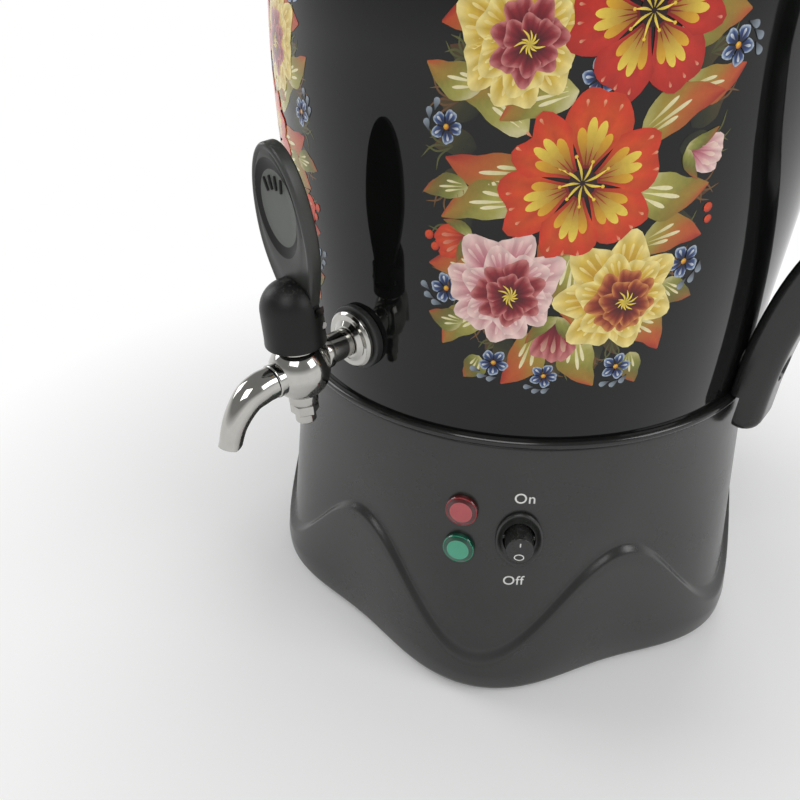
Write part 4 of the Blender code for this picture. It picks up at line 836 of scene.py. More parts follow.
def inlet_frame():
    """A frame on the inlet's seat at the back: x across, y up, z outwards."""
    seat = skirt_radius(pi, INLET_HEIGHT) + sizes().ledge_step + 2.6 * MM
    return placed(Vector((0.0, seat, INLET_HEIGHT)), -SIDE, UP)


def switch_panel():
    return on_skirt(SWITCH_AZIMUTH, SWITCH_HEIGHT)


def make_housing():
    own = sizes()
    steps = own.round_steps + own.round_steps // 2
    rows = housing_rows()
    shape = bmesh.new()
    labels = ("turn", "level", "share", "spread", "outset")
    layers = [shape.verts.layers.float.new(label) for label in labels]
    rings = []
    for turn in circle(steps):
        ring = []
        for index, row in enumerate(rows):
            vert = shape.verts.new((cos(turn), sin(turn), 0.01 * index))
            for layer, value in zip(layers, (turn, *row)):
                vert[layer] = value
            ring.append(vert)
        rings.append(ring)
    for index in range(steps):
        near, far = rings[index], rings[(index + 1) % steps]
        for row in range(len(rows)):
            after = (row + 1) % len(rows)
            shape.faces.new((near[row], far[row], far[after], near[after]))
    item = plain_object("housing_shell", shape)
    material = plastic_finish()
    grown(item, skirt_tree(), skirt_values(material))
    for label in labels:
        item.data.attributes.remove(item.data.attributes[label])
    shape = shape_of(item.data)
    face_out(shape)
    store(shape, item.data)
    inlet = inlet_frame()
    wide, tall = 16.3 * MM, 12.6 * MM
    sections = []
    for inset, level, corner in ((0.0, -9.0, 2.5), (0.0, -0.8, 2.5), (0.5, -0.2, 2.2), (1.3, 0.0, 2.0)):
        sections.append(outline_box(wide - inset * MM, tall - inset * MM, level * MM, corner * MM))
    combined(item, "UNION", [lofted(sections, matrix=inlet)])
    hole = [outline_box(wide - 2.5 * MM, tall - 2.5 * MM, level, 2 * MM) for level in (-0.03, 0.02)]
    tools = [lofted(hole, matrix=inlet)]
    for _, height in PANEL_LAMPS:
        tools.append(cylinder(5.1 * MM, -0.008, 0.008, 32, on_skirt(LAMP_AZIMUTH, height)))
    hole = [ellipse(7.9 * MM, 9.1 * MM, level) for level in (-0.015, 0.015)]
    tools.append(lofted(hole, matrix=switch_panel()))
    combined(item, "DIFFERENCE", tools)
    finished(item, material, "black_plastic", ["base_housing"])


def make_seam_ring():
    own = sizes()
    radius, bead = own.tank_radius + 2.8 * MM, 1.7 * MM
    turns = [pi / 2 - pi * step / 12 for step in range(13)]
    profile = [(radius - bead + bead * cos(t), SEAM_LEVEL + bead * sin(t)) for t in turns]
    inner = radius - 8.5 * MM
    profile += [(inner, SEAM_LEVEL - bead), (inner, SEAM_LEVEL + bead)]
    piece("seam_bead", turned(profile, own.round_steps), bead_finish(), "black_rubber", ["seam_ring"])


def make_underside():
    """The bottom cover with its vents, the rubber feet and the cover's screws."""
    own = sizes()
    outline = [polar(turn, lip_radius(turn) - PLAY, 0.0) for turn in circle(own.round_steps)]
    low, top, edge = FOOT_HEIGHT, FOOT_HEIGHT + 2 * MM, 0.4 * MM
    loops = []
    for level, share in ((low, edge), (low + edge, 0.0), (top, 0.0)):
        loops.append([Vector((point.x, point.y, level)) - share * point.normalized() for point in outline])
    cover = mesh_object("bottom_plate", lofted(loops))
    pad, pad_low = 24 * MM, low - 0.5 * MM
    profile = [(0.0, top - MM), (pad, top - MM), (pad, pad_low, 0.3 * MM), (0.0, pad_low)]
    combined(cover, "UNION", [turned(rounded(profile), 96)])
    holes = []
    slot, slot_reach = outline_box(2 * MM, 15 * MM, 0.0, 1.9 * MM, 6), 0.060
    for turn in circle(8):
        section = [[(x, y + slot_reach, level) for x, y, _ in slot] for level in (0.0, 0.02)]
        holes.append(lofted(section, matrix=Matrix.Rotation(turn, 4, "Z")))
    combined(cover, "DIFFERENCE", holes)
    finished(cover, plastic_finish(), "black_plastic", ["bottom_cover"])
    foot = rounded([(0.0, 4.4 * MM), (2.6 * MM, 4.4 * MM, 0.3 * MM), (2.6 * MM, 2.2 * MM),
                    (8 * MM, 2.2 * MM, 0.5 * MM), (7.2 * MM, 0.0, 0.8 * MM), (4.2 * MM, 0.0, 0.3 * MM),
                    (3.8 * MM, 0.8 * MM, 0.3 * MM), (0.0, 0.8 * MM)])
    foot_reach = 0.100
    spots = [at(*polar(own.lobe_turn + turn, foot_reach, 0.0)) for turn in circle(own.lobes)]
    feet = copies("rubber_feet", turned(foot, 48), spots, rubber_finish())
    finished(feet, None, "black_rubber", [f"foot_{k + 1}" for k in range(own.lobes)])
    ring = lip_radius(own.lobe_turn) - 5.8 * MM
    spots = [at(*polar(radians(turn), ring, 0.0)) for turn in (30.0, 150.0, 270.0)]
    screw = cross_screw(1.6 * MM, 3.4 * MM, -16.5 * MM, -2.2 * MM, 1.5 * MM, Matrix.Rotation(pi, 4, "X"))
    screws = copies("cover_screws", screw, spots, steel_finish())
    finished(screws, None, "steel", [f"cover_screw_{k + 1}" for k in range(3)])


def cross_screw(radius, head, tip, under, rise, matrix):
    """A pan-head screw along Z with a cross recess, its head above the level under."""
    top = under + rise
    profile = rounded([
        (0.0, top), (0.62 * head, top, 0.5 * head), (head, under + 0.45 * rise, 0.3 * head), (head, under),
        (radius, under), (radius, tip + radius), (0.4 * radius, tip), (0.0, tip)])
    item = mesh_object("screw_blank", turned(profile, 32))
    arm, reach = 0.16 * head, 0.62 * head
    deep = top - 0.75 * rise
    star = [
        (arm, arm), (arm, reach), (-arm, reach), (-arm, arm), (-reach, arm), (-reach, -arm), (-arm, -arm),
        (-arm, -reach), (arm, -reach), (arm, -arm), (reach, -arm), (reach, arm)]
    loops = [[(0.55 * x, 0.55 * y, deep) for x, y in star], [(x, y, top + rise) for x, y in star]]
    combined(item, "DIFFERENCE", [lofted(loops)])
    shape = shape_of(item.data)
    shape.transform(matrix)
    bpy.data.objects.remove(item, do_unlink=True)
    return shape


# Tank, mouth, lid and teapot stand

def make_tank():
    own = sizes()
    outer, inner = tank_side(0.0), tank_side(-SHEET)
    flange = own.tank_radius - 6 * MM
    profile = [*reversed(outer), (flange, TANK_BOTTOM), (flange, TANK_BOTTOM + SHEET),
               (inner[0][0], TANK_BOTTOM + SHEET), *inner[1:]]
    item = mesh_object("tank_shell", turned(profile, own.round_steps))
    hole = cylinder(5.1 * MM, -0.015, 0.015, 48, pointing_out(TAP_HEIGHT, own.tank_radius))
    combined(item, "DIFFERENCE", [hole])
    finished(item, enamel_finish(), "black_enamel", ["body_shell"])
    second_finish(item, steel_finish(), lambda face: face.center.xy.dot(face.normal.xy) < -0.001)


def make_mouth_rim():
    inner, outer = 80 * MM, 91 * MM
    profile = rounded([(inner, RIM_TOP, MM), (outer, RIM_TOP, 2.6 * MM), (outer, RIM_BOTTOM, 2.6 * MM),
                       (inner, RIM_BOTTOM, 0.5 * MM)], 6)
    rim = turned(profile, sizes().round_steps)
    piece("rolled_rim", rim, handle_finish(), "black_plastic", ["mouth_rim"])


def make_lid():
    steps = sizes().round_steps
    sheet = 2 * MM
    under, crown_under = LID_TERRACE - sheet, LID_TOP - sheet
    skirt_low = LID_BRIM - 12 * MM
    profile = rounded([
        (0.0, LID_TOP + 1.2 * MM), (34 * MM, LID_TOP + 1.2 * MM, 0.6 * MM), (34.6 * MM, LID_TOP, 0.4 * MM),
        (47 * MM, LID_TOP, 3 * MM), (50 * MM, LID_TERRACE, 2 * MM), (76 * MM, LID_TERRACE, 6 * MM),
        (84.5 * MM, LID_TERRACE - 3.4 * MM, 6 * MM), (88 * MM, LID_BRIM + 1.6 * MM, 0.8 * MM),
        (88 * MM, LID_BRIM, 0.5 * MM), (76.5 * MM, LID_BRIM), (76.5 * MM, skirt_low, 0.6 * MM),
        (74.5 * MM, skirt_low, 0.6 * MM), (74.5 * MM, under, 2 * MM), (47 * MM, under, MM),
        (44 * MM, crown_under, MM), (0.0, crown_under)], 6)
    piece("lid_shell", turned(profile, steps), enamel_finish(), "black_enamel", ["lid"], "lid")
    inner, outer, top, low = 76.8 * MM, 79.4 * MM, LID_BRIM - PLAY, LID_BRIM - PLAY - 5 * MM
    profile = rounded(
        [(inner, top, 0.4 * MM), (outer, top, 0.9 * MM), (outer, low, 0.9 * MM), (inner, low, 0.4 * MM)])
    seal = turned(profile, steps)
    piece("lid_seal", seal, silicone_finish(), "clear_silicone", ["lid_gasket"], "lid")
    base, tall, wide, knob_reach = LID_TERRACE + PLAY, 16 * MM, 8 * MM, 0.063
    course = [(0.0, 1.0), (0.35, 0.99), (0.72, 0.93), (0.97, 0.80), (1.0, 0.70), (0.90, 0.55), (0.62, 0.40),
              (0.46, 0.28), (0.50, 0.12), (0.70, 0.03)]
    line = smooth_path([Vector((wide * r, base + tall * z)) for r, z in course], 4)
    profile = [(max(point.x, 0.0), point.y) for point in line] + [(0.7 * wide, base), (0.0, base)]
    profile[0] = (0.0, base + tall)
    for name, side in (("right", 1.0), ("left", -1.0)):
        knob = turned(profile, 48, at(side * knob_reach, 0.0, 0.0))
        piece(f"turned_knob_{name}", knob, handle_finish(), "black_plastic", [f"lid_knob_{name}"], "lid")


def make_teapot_stand():
    """A ring with a scalloped, slightly flared top edge."""
    steps, foot, tall, wall, radius = 192, LID_TOP + PLAY, 25 * MM, 3 * MM, 44 * MM
    sections = []
    for turn in circle(steps):
        dip = 6 * MM * sin(4.0 * turn) ** 2
        top, middle = foot + tall - dip, foot + tall / 3
        spread = 6 * MM * (1.0 - dip / tall)
        line = []
        for row in range(9):
            share = row / 8
            line.append((radius + spread * smooth(share) * share, middle + (top - middle) * share))
        rim = line[-1]
        section = rounded([
            (radius, foot, 0.4 * MM), *line[:-1], (rim[0], rim[1], 1.2 * MM),
            (rim[0] - wall, rim[1], 1.2 * MM), *[(r - wall, z) for r, z in reversed(line[:-1])],
            (radius - 2 * wall, foot, 0.4 * MM)], 4)
        sections.append([polar(turn, r, z) for r, z in section])
    stand = lofted(sections, closed=True)
    piece("scalloped_stand", stand, chrome_finish(), "chrome", ["teapot_stand"], "lid")


# Handles

HANDLE_HALF = 7 * MM
HANDLE_COURSE = [(0.0, 0.0), (0.0, 0.10), (0.03, 0.22), (0.13, 0.353), (0.33, 0.47), (0.66, 0.58),
                 (0.93, 0.70), (1.0, 0.81), (0.80, 0.94), (0.34, 1.0), (-0.40, 1.0)]
HANDLE_FOOT, HANDLE_TOP = 0.1155, 0.291
HANDLE_SCREW_LEVEL = 0.143
HANDLE_SCREW_REACH, BRACKET_REACH = 0.113, 0.120


def handle_loop(inset):
    """A handle seen from the front, drawn in by an inset: a tail on the wall, then a wide loop."""
    own = sizes()
    tail, low = own.tank_radius + HANDLE_HALF, HANDLE_FOOT + HANDLE_HALF
    run, rise = own.tank_radius + 56.8 * MM - tail, HANDLE_TOP - low
    points = [Vector((tail + out * run, low + up * rise)) for out, up in HANDLE_COURSE]
    path = smooth_path(points, 6)
    half = HANDLE_HALF - inset
    sides = [Vector((along.y, -along.x)) for along in directions(path)]
    outer = [point + half * side for point, side in zip(path, sides)]
    inner = [point - half * side for point, side in zip(path, sides)]
    turns = [pi * step / 12 for step in range(1, 12)]
    end = [path[0] + half * Vector((-cos(t), -sin(t))) for t in turns]
    return [*end, *outer, *reversed(inner)]


def make_handle(name, side):
    own = sizes()
    half, edge = 9 * MM, 3.5 * MM
    levels = [(half - edge + edge * cos(t), edge * (1.0 - sin(t))) for t in quarter(6)]
    levels = [(-y, inset) for y, inset in levels] + [(y, inset) for y, inset in reversed(levels)]
    sections = [[(side * point.x, y, point.y) for point in handle_loop(inset)] for y, inset in levels]
    item = mesh_object(f"side_handle_{name}", lofted(sections, fan=False))
    inward = placed(Vector((0.0, 0.0, HANDLE_SCREW_LEVEL)), Vector((0.0, side, 0.0)), UP)
    face = own.tank_radius + 14 * MM
    head, well = face - 5 * MM, face + 0.02
    upward = placed(Vector((side * HANDLE_SCREW_REACH, 0.0, 0.0)), SIDE, Vector((0.0, -1.0, 0.0)))
    below = HANDLE_TOP - HANDLE_HALF
    lower_well = rounded([
        (0.0, well), (6.2 * MM, well), (6.2 * MM, face + MM), (4.4 * MM, face - MM, 0.5 * MM),
        (4.4 * MM, head - PLAY), (0.0, head - PLAY)])
    ends = sorted((side * own.mouth_radius, side * BRACKET_REACH))
    wide, tall = 6.3 * MM, 1.1 * MM
    tools = [
        tank_envelope(), cylinder(4.8 * MM, 0.0, own.tank_radius + 6.6 * MM, 32, inward),
        cylinder(2.3 * MM, own.tank_radius + 5.7 * MM, head, 24, inward), turned(lower_well, 48, inward),
        cylinder(2.3 * MM, -0.2941, -(below + 3 * MM), 24, upward),
        cylinder(4.4 * MM, -(below + 5.3 * MM), HANDLE_HALF - below, 48, upward),
        block((ends[0] - PLAY, -wide, HANDLE_TOP - tall), (ends[1] + PLAY, wide, HANDLE_TOP + tall))]
    combined(item, "DIFFERENCE", tools)
    finished(item, handle_finish(), "black_plastic", [f"handle_{name}"])
    lower = cross_screw(2 * MM, 3.8 * MM, own.tank_radius + 2.3 * MM, head, 2 * MM, inward)
    upper = cross_screw(2 * MM, 3.8 * MM, -0.2938, -(below + 5 * MM), 2 * MM, upward)
    for level, shape in (("lower", lower), ("upper", upper)):
        nodes = [f"handle_{level}_screw_{name}"]
        piece(f"cross_screw_{level}_{name}", shape, steel_finish(), "steel", nodes)


# Tap

BALL = 11 * MM
BALL_LEVEL = -2 * MM
SPOUT_START = Vector((TAP_REACH + BALL + 1.5 * MM, TAP_HEIGHT + BALL_LEVEL))
SPOUT_COURSE = [(0.0, 0.0), (0.22, -0.015), (0.50, -0.13), (0.80, -0.50), (1.0, -1.0)]
SPOUT_REACH, SPOUT_DROP = 32 * MM, 16.5 * MM
PIVOT = Vector((0.0, -0.1295, 0.173))
LEVER_FRONT, LEVER_BACK = 4.5 * MM, 0.5 * MM


def tap_axis():
    """A frame on the tap's upright axis, with z up."""
    return at(0.0, -TAP_REACH, TAP_HEIGHT)


def make_tap_seat():
    own = sizes()
    out = pointing_out(TAP_HEIGHT)
    hole, wall, rim = 5.1 * MM, own.tank_radius, 12.5 * MM
    gasket_face = wall + 2.8 * MM
    profile = rounded(
        [(hole, gasket_face), (rim, gasket_face, 0.8 * MM), (rim, wall - 2 * MM), (hole, wall - 2 * MM)])
    gasket = mesh_object("tap_gasket_ring", turned(profile, 96, out))
    combined(gasket, "DIFFERENCE", [tank_envelope()])
    finished(gasket, rubber_finish(), "black_rubber", ["tap_gasket"])
    back = gasket_face + PLAY
    face = back + 2.2 * MM
    profile = rounded([(hole, face + 1.6 * MM), (6.2 * MM, face + 1.6 * MM, 0.5 * MM),
                       (8.2 * MM, face + 0.1 * MM, 1.5 * MM), (10 * MM, face + 0.2 * MM, 0.5 * MM),
                       (11 * MM, face - 0.7 * MM, 0.5 * MM), (11 * MM, back, 0.3 * MM), (hole, back)], 5)
    piece("dished_flange", turned(profile, 96, out), chrome_finish(), "chrome", ["tap_flange"])


def make_tap_body():
    own = sizes()
    axis, out = tap_axis(), pointing_out(TAP_HEIGHT)
    neck, thread, boss = 7 * MM, 7.9 * MM, 5.4 * MM
    high = atan2(sqrt(BALL ** 2 - neck ** 2), neck)
    low = -atan2(sqrt(BALL ** 2 - boss ** 2), boss)
    turns = [high + (low - high) * step / 28 for step in range(29)]
    ball = [(BALL * cos(t), BALL_LEVEL + BALL * sin(t)) for t in turns]
    groove = neck + 0.4 * MM
    profile = rounded([
        (0.0, 11.5 * MM), (thread, 11.5 * MM, 0.3 * MM), (thread, 8.8 * MM), (groove, 8.8 * MM),
        (groove, 7.6 * MM, 0.3 * MM)]) + ball
    profile += rounded([(boss, -12 * MM), (boss, -15 * MM, 0.5 * MM), (0.0, -15 * MM)])
    body = mesh_object("tap_ball", turned(profile, 96, axis))
    ring_end, inner_end = TAP_REACH - 0.85 * BALL, own.tank_radius - 15 * MM
    sleeve_end, collar_end = own.tank_radius + 7.2 * MM, SPOUT_START.x - PLAY
    pipe, ring, sleeve, collar = 4.8 * MM, 6.2 * MM, 5.5 * MM, 6.0 * MM
    shank = rounded([
        (0.0, TAP_REACH), (pipe, TAP_REACH), (pipe, ring_end), (ring, ring_end, 0.6 * MM),
        (ring, ring_end - 3 * MM, 0.6 * MM), (sleeve, ring_end - 3.2 * MM), (sleeve, sleeve_end, 0.3 * MM),
        (pipe, sleeve_end), (pipe, inner_end, 0.5 * MM), (0.0, inner_end)])
    front = rounded(
        [(0.0, TAP_REACH), (collar, TAP_REACH), (collar, collar_end, 0.7 * MM), (0.0, collar_end)])
    combined(body, "UNION", [turned(shank, 64, out), turned(front, 64, pointing_out(SPOUT_START.y))])
    combined(body, "DIFFERENCE", [
        cylinder(5.4 * MM, -3 * MM, 0.02, 48, axis), cylinder(2.7 * MM, -12 * MM, 0.0, 32, axis),
        cylinder(2.7 * MM, inner_end - SHEET, TAP_REACH, 32, out),
        cylinder(3.3 * MM, -0.03, -11 * MM, 32, axis)])
    finished(body, chrome_finish(), "chrome", ["tap_body"])
    make_spout()
    make_plug()


def make_spout():
    """The spout: a fat bend that thins towards its tip."""
    run = TAP_REACH + SPOUT_REACH - SPOUT_START.x
    points = [SPOUT_START + Vector((along * run, down * SPOUT_DROP)) for along, down in SPOUT_COURSE]
    path = [Vector((0.0, -point.x, point.y)) for point in smooth_path(points, 12)]
    shares = [step / (len(path) - 1) for step in range(len(path))]
    radii = [5.7 * MM - 1.8 * MM * smooth((share - 0.25) / 0.75) for share in shares]
    bores = [radius - (1.3 + 0.9 * (1 - share)) * MM for share, radius in zip(shares, radii)]
    loops = rings_along(path, radii, SIDE, 64) + rings_along(path, bores, SIDE, 64)[::-1]
    spout = mesh_object("curved_spout", lofted(loops, closed=True))
    level = Matrix.Translation(path[-1]) @ Matrix.Rotation(radians(12.0), 4, "X")
    combined(spout, "DIFFERENCE", [block((-0.02, -0.02, -0.02), (0.02, 0.02, 0.0), level)])
    finished(spout, chrome_finish(), "chrome", ["tap_spout"])


def make_plug():
    axis = tap_axis()
    top = BALL_LEVEL - 13 * MM - PLAY
    under, chamfer = top - 4.5 * MM, 0.5 * MM
    loops = []
    for height, inset in ((top, chamfer), (top - chamfer, 0.0), (under + chamfer, 0.0), (under, chamfer)):
        loops.append([(x, y, height) for x, y in hexagon(9 * MM, inset)])
    plug = mesh_object("hex_plug", lofted(loops, matrix=axis))
    ring = rounded([(0.0, top - 2 * MM), (3.9 * MM, top - 2 * MM), (3.9 * MM, under - 3.2 * MM, 0.4 * MM),
                    (2.8 * MM, under - 4.2 * MM, 0.5 * MM), (0.0, under - 4.2 * MM)])
    combined(plug, "UNION", [cylinder(3 * MM, top - 2 * MM, top + 4 * MM, 32, axis), turned(ring, 48, axis)])
    finished(plug, chrome_finish(), "chrome", ["tap_plug"])


def spring_tree():
    """Sweeps a round wire along a rising spiral."""
    tree, value = geometry_tree("wound_spring", [
        ("Turns", "Float", 4.0), ("Radius", "Float", 0.0036), ("Wire", "Float", 0.0004),
        ("Height", "Float", 0.0062), ("Place", "Vector")])
    spiral = node(tree, "GeometryNodeCurveSpiral", {
        "Resolution": 24, "Rotations": value["Turns"], "Start Radius": value["Radius"],
        "End Radius": value["Radius"], "Height": value["Height"]})
    wire = node(tree, "GeometryNodeCurvePrimitiveCircle", {"Resolution": 8, "Radius": value["Wire"]})
    sweep = node(tree, "GeometryNodeCurveToMesh", {
        "Fill Caps": True, "Curve": spiral.outputs[0], "Profile Curve": wire.outputs[0]})
    move = node(tree, "GeometryNodeTransform", {"Geometry": sweep.outputs[0], "Translation": value["Place"]})
    close_tree(tree, move.outputs[0], value["Material"])
    return tree


def make_spring():
    """The valve's spring, a round wire swept along a spiral."""
    low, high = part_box("tap_spring")
    item = linked("wound_spring", bpy.data.meshes.new("wound_spring"))
    wire, tall, lift = 0.4 * MM, high[2] - low[2], 2.55 * MM
    grown(item, spring_tree(), {
        "Turns": 4.0, "Radius": 3.6 * MM, "Wire": wire, "Height": tall - 2 * wire,
        "Place": (0.0, -TAP_REACH, low[2] + wire), "Material": steel_finish()})
    finished(item, None, "steel", ["tap_spring"])
    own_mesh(item)


def blade_frame():
    """The lever's blade: x across, y towards the tank, z up the leaning blade."""
    return Matrix.Translation(PIVOT + Vector((0.0, 0.0, 6.2 * MM))) @ Matrix.Rotation(radians(5.0), 4, "X")


def pin_frame():
    return placed(PIVOT, Vector((0.0, 1.0, 0.0)), UP)


def make_bonnet():
    radius, low, wall = 10.5 * MM, 8.5 * MM, 2.3 * MM
    top = low + 23 * MM
    side_top, inner = top - radius, radius - wall
    turns = quarter(20)
    dome = [(radius * cos(t), side_top + radius * sin(t)) for t in reversed(turns)]
    dome[0] = (0.0, top)
    hollow = [(inner * cos(t), side_top + inner * sin(t)) for t in turns]
    hollow[-1] = (0.0, side_top + inner)
    foot = rounded([(radius, low + 3 * MM), (radius + 0.2 * MM, low, 0.8 * MM), (inner, low, 0.3 * MM),
                    (inner, low + 2 * MM)])
    bonnet = mesh_object("domed_bonnet", turned([*dome, *foot, *hollow], 96, tap_axis()))
    gap, play, root = 5.2 * MM, 0.5 * MM, 2.6 * MM
    slot = block((-gap, 0.0, -root - play), (gap, 0.0105, 0.023),
                 Matrix.Translation(PIVOT + Vector((0.0, -root, 0.0))))
    notch = block((-0.025, -LEVER_FRONT - play, -MM), (0.025, 0.025, 0.052), blade_frame())
    hole = cylinder(1.5 * MM, -0.0105, 0.0105, 24, pin_frame())
    combined(bonnet, "DIFFERENCE", [slot, notch, hole])
    finished(bonnet, bonnet_finish(), "black_plastic", ["tap_bonnet"])


def blade_outline(steps=72):
    """The leaf blade's edge as (across, up) points, from the neck up the right side and down the left."""
    half, neck, length, corner = 12.5 * MM, 7.5 * MM, 52 * MM, 2.6 * MM
    widest = 0.46 * length
    right = [(0.2 * neck, 0.0), (0.45 * neck, 0.0)]
    for turn in quarter(6):
        right.append((neck - corner + corner * sin(turn), corner - corner * cos(turn)))
    for turn in quarter(steps // 3)[1:-1]:
        right.append((neck + (half - neck) * sin(turn), corner + (widest - corner) * turn / (pi / 2)))
    for turn in quarter(steps // 2)[:-1]:
        right.append((half * cos(turn), widest + (length - widest) * sin(turn)))
    left = [(-across, up) for across, up in reversed(right)]
    return [Vector(point) for point in (*right, (0.0, length), *left)]


def inset_outline(outline, inset):
    """Draw a closed outline in by an inset, square to its edge."""
    count = len(outline)
    moved = []
    for index, point in enumerate(outline):
        along = (outline[(index + 1) % count] - outline[index - 1]).normalized()
        moved.append(point + inset * Vector((-along.y, along.x)))
    return moved


def make_lever():
    blade = blade_outline()
    middle = 32.6 * MM
    rim, floor = Vector((9.2, 15.2)) * MM, Vector((7.9, 11.9)) * MM
    oval = []
    for point in blade:
        turn = atan2((point.y - middle) / rim.y, point.x / rim.x)
        oval.append((cos(turn), sin(turn)))

    def pad(half, depth):
        return [(half.x * x, depth, middle + half.y * y) for x, y in oval]

    def edge(inset, depth):
        return [(point.x, depth, point.y) for point in inset_outline(blade, inset)]

    def between(inset, share, depth):
        near, far = pad(rim, depth), edge(inset, depth)
        return [
            tuple(a + share * (b - a) for a, b in zip(first, second)) for first, second in zip(near, far)]

    front, back, bead = -LEVER_FRONT, LEVER_BACK, 1.1 * MM
    loops = [
        pad(share * floor, front + depth * MM) for share, depth in ((0.35, 1.05), (0.7, 1.03), (1.0, 1.0))]
    for share, depth in ((0.1, 0.93), (0.4, 0.68), (0.75, 0.33), (0.95, 0.12), (1.05, 0.04)):
        loops.append(pad(floor.lerp(rim, share), front + depth * MM))
    loops += [between(2 * MM, 0.5, front + 0.05 * MM), edge(2 * MM, front + 0.28 * MM),
              edge(1.5 * MM, front + 0.1 * MM)]
    loops += [edge(bead * (1.0 - sin(t)), front + bead * (1.0 - cos(t))) for t in quarter(6)]
    loops += [edge(bead * (1.0 - cos(t)), back - bead * (1.0 - sin(t))) for t in quarter(6)]
    loops += [between(1.5 * MM, 0.6, back), pad(0.6 * rim, back)]
    frame_up, pivot = blade_frame(), Matrix.Translation(PIVOT)
    lever = mesh_object("leaf_lever", lofted(loops, matrix=frame_up))
    half, radius, root_top = 4.7 * MM, 2.6 * MM, 11.2 * MM
    turns = [pi * step / 10 for step in range(11)]
    root = [(-radius * cos(t), -radius * sin(t)) for t in turns]
    root += [(LEVER_BACK - 0.2 * MM, root_top), (-radius, root_top)]
    tools = [lofted([[(x, y, z) for y, z in root] for x in (-half, half)], matrix=pivot)]
    toe, toe_half, inner = 7.57 * MM, 1.2 * MM, 2.4 * MM
    for start, end in ((inner, half - 0.01 * MM), (0.01 * MM - half, -inner)):
        tools.append(block((start, -toe, -toe_half), (end, 0.0, toe_half), pivot))
    combined(lever, "UNION", tools)
    combined(lever, "DIFFERENCE", [cylinder(1.5 * MM, -0.025, 0.025, 24, pin_frame())])
    # The blade's lighter plastic is painted light.
    finished(lever, lever_painted_light_finish(), "black_plastic", ["tap_lever"], "lever")
    flat = frame_up.inverted()

    def inside(face, limit):
        spot = flat @ face.center
        return hypot(spot.x / limit.x, (spot.z - middle) / limit.y) < 1.0 and spot.y < front + 1.2 * MM

    # The band round the pad takes the bonnet's dark plastic: painted shade.
    second_finish(lever, bonnet_finish(), lambda face: inside(face, rim))
    # The pad's floor is painted lighter than the blade: painted light.
    second_finish(lever, pad_painted_light_finish(), lambda face: inside(face, floor))
    rib_half = 2.1 * MM
    rib = turned(rounded([(0.0, rib_half), (0.42 * MM, rib_half, 0.35 * MM), (0.5 * MM, 0.0, 0.2 * MM),
                          (0.42 * MM, -rib_half, 0.35 * MM), (0.0, -rib_half)]), 12)
    spots = []
    for place in (-1.5, -0.5, 0.5, 1.5):
        spot = Vector((place * 2.4 * MM, front + 0.85 * MM, 40.6 * MM - 0.35 * MM * place ** 2))
        spots.append(frame_up @ Matrix.Translation(spot) @ Matrix.Rotation(place * 0.16, 4, "Y"))
    ribs = copies("thumb_ribs", rib, spots, bonnet_finish())
    finished(ribs, None, "black_plastic", body="lever")


# Control panel

def make_lamps():
    """Lens caps: a bevelled front, a painted highlight ring at the edge, a face of fine studs in painted
    sheen.
    """
    tones = {"red": finishes().red_lens, "green": finishes().green_lens}
    stand, collar, shank = 3 * MM, 6.5 * MM, 4.8 * MM
    pitch, wire = 0.60 * MM, 0.17 * MM
    profile = rounded([(0.0, stand - 0.1 * MM), (4.5 * MM, stand - 0.1 * MM, 0.2 * MM),
                       (6.0 * MM, stand - 0.75 * MM, 0.2 * MM), (6.1 * MM, stand - 0.95 * MM),
                       (collar - 0.2 * MM, stand - 1.0 * MM), (collar, stand - 1.3 * MM, 0.2 * MM),
                       (collar, PLAY), (shank, PLAY), (shank, -8 * MM), (0.0, -8 * MM)], 4)
    # A thin bead round the lens's front edge, which carries the painted highlight.
    line = [(6.16 * MM + wire * cos(t), stand - 0.86 * MM + wire * sin(t)) for t in circle(8)]
    for name, height in PANEL_LAMPS:
        panel = on_skirt(LAMP_AZIMUTH, height)
        slot = f"{name}_lens"
        body = lens_finish(f"{name}_lens_body", shade(tones[name], 0.22))
        # The edge bead takes a lighter copy of the lens colour: a painted highlight.
        bright = lens_finish(f"{name}_lens_bright", shade(tones[name], 1.1))
        piece(f"{name}_lens", turned(profile, 64, panel), body, slot, [f"lamp_lens_{name}"])
        piece(f"{name}_lens_edge", turned(line, 64, panel), bright, slot)
        spots = []
        for ring in range(8):
            for turn in circle(max(1, 6 * ring)):
                reach = pitch * ring
                spots.append(panel @ at(reach * cos(turn), reach * sin(turn), stand - 0.11 * MM))
        stud = turned([(0.0, 0.16 * MM), (0.2 * MM, 0.1 * MM), (0.33 * MM, 0.0), (0.0, -0.02 * MM)], 8)
        # The studs are painted paler than the lens: painted sheen.
        pale = [0.9 * part + 0.09 for part in tones[name]]
        dots = copies(f"{name}_lens_studs", stud, spots, face_finish(f"{name}_lens_face", pale))
        finished(dots, None, slot)


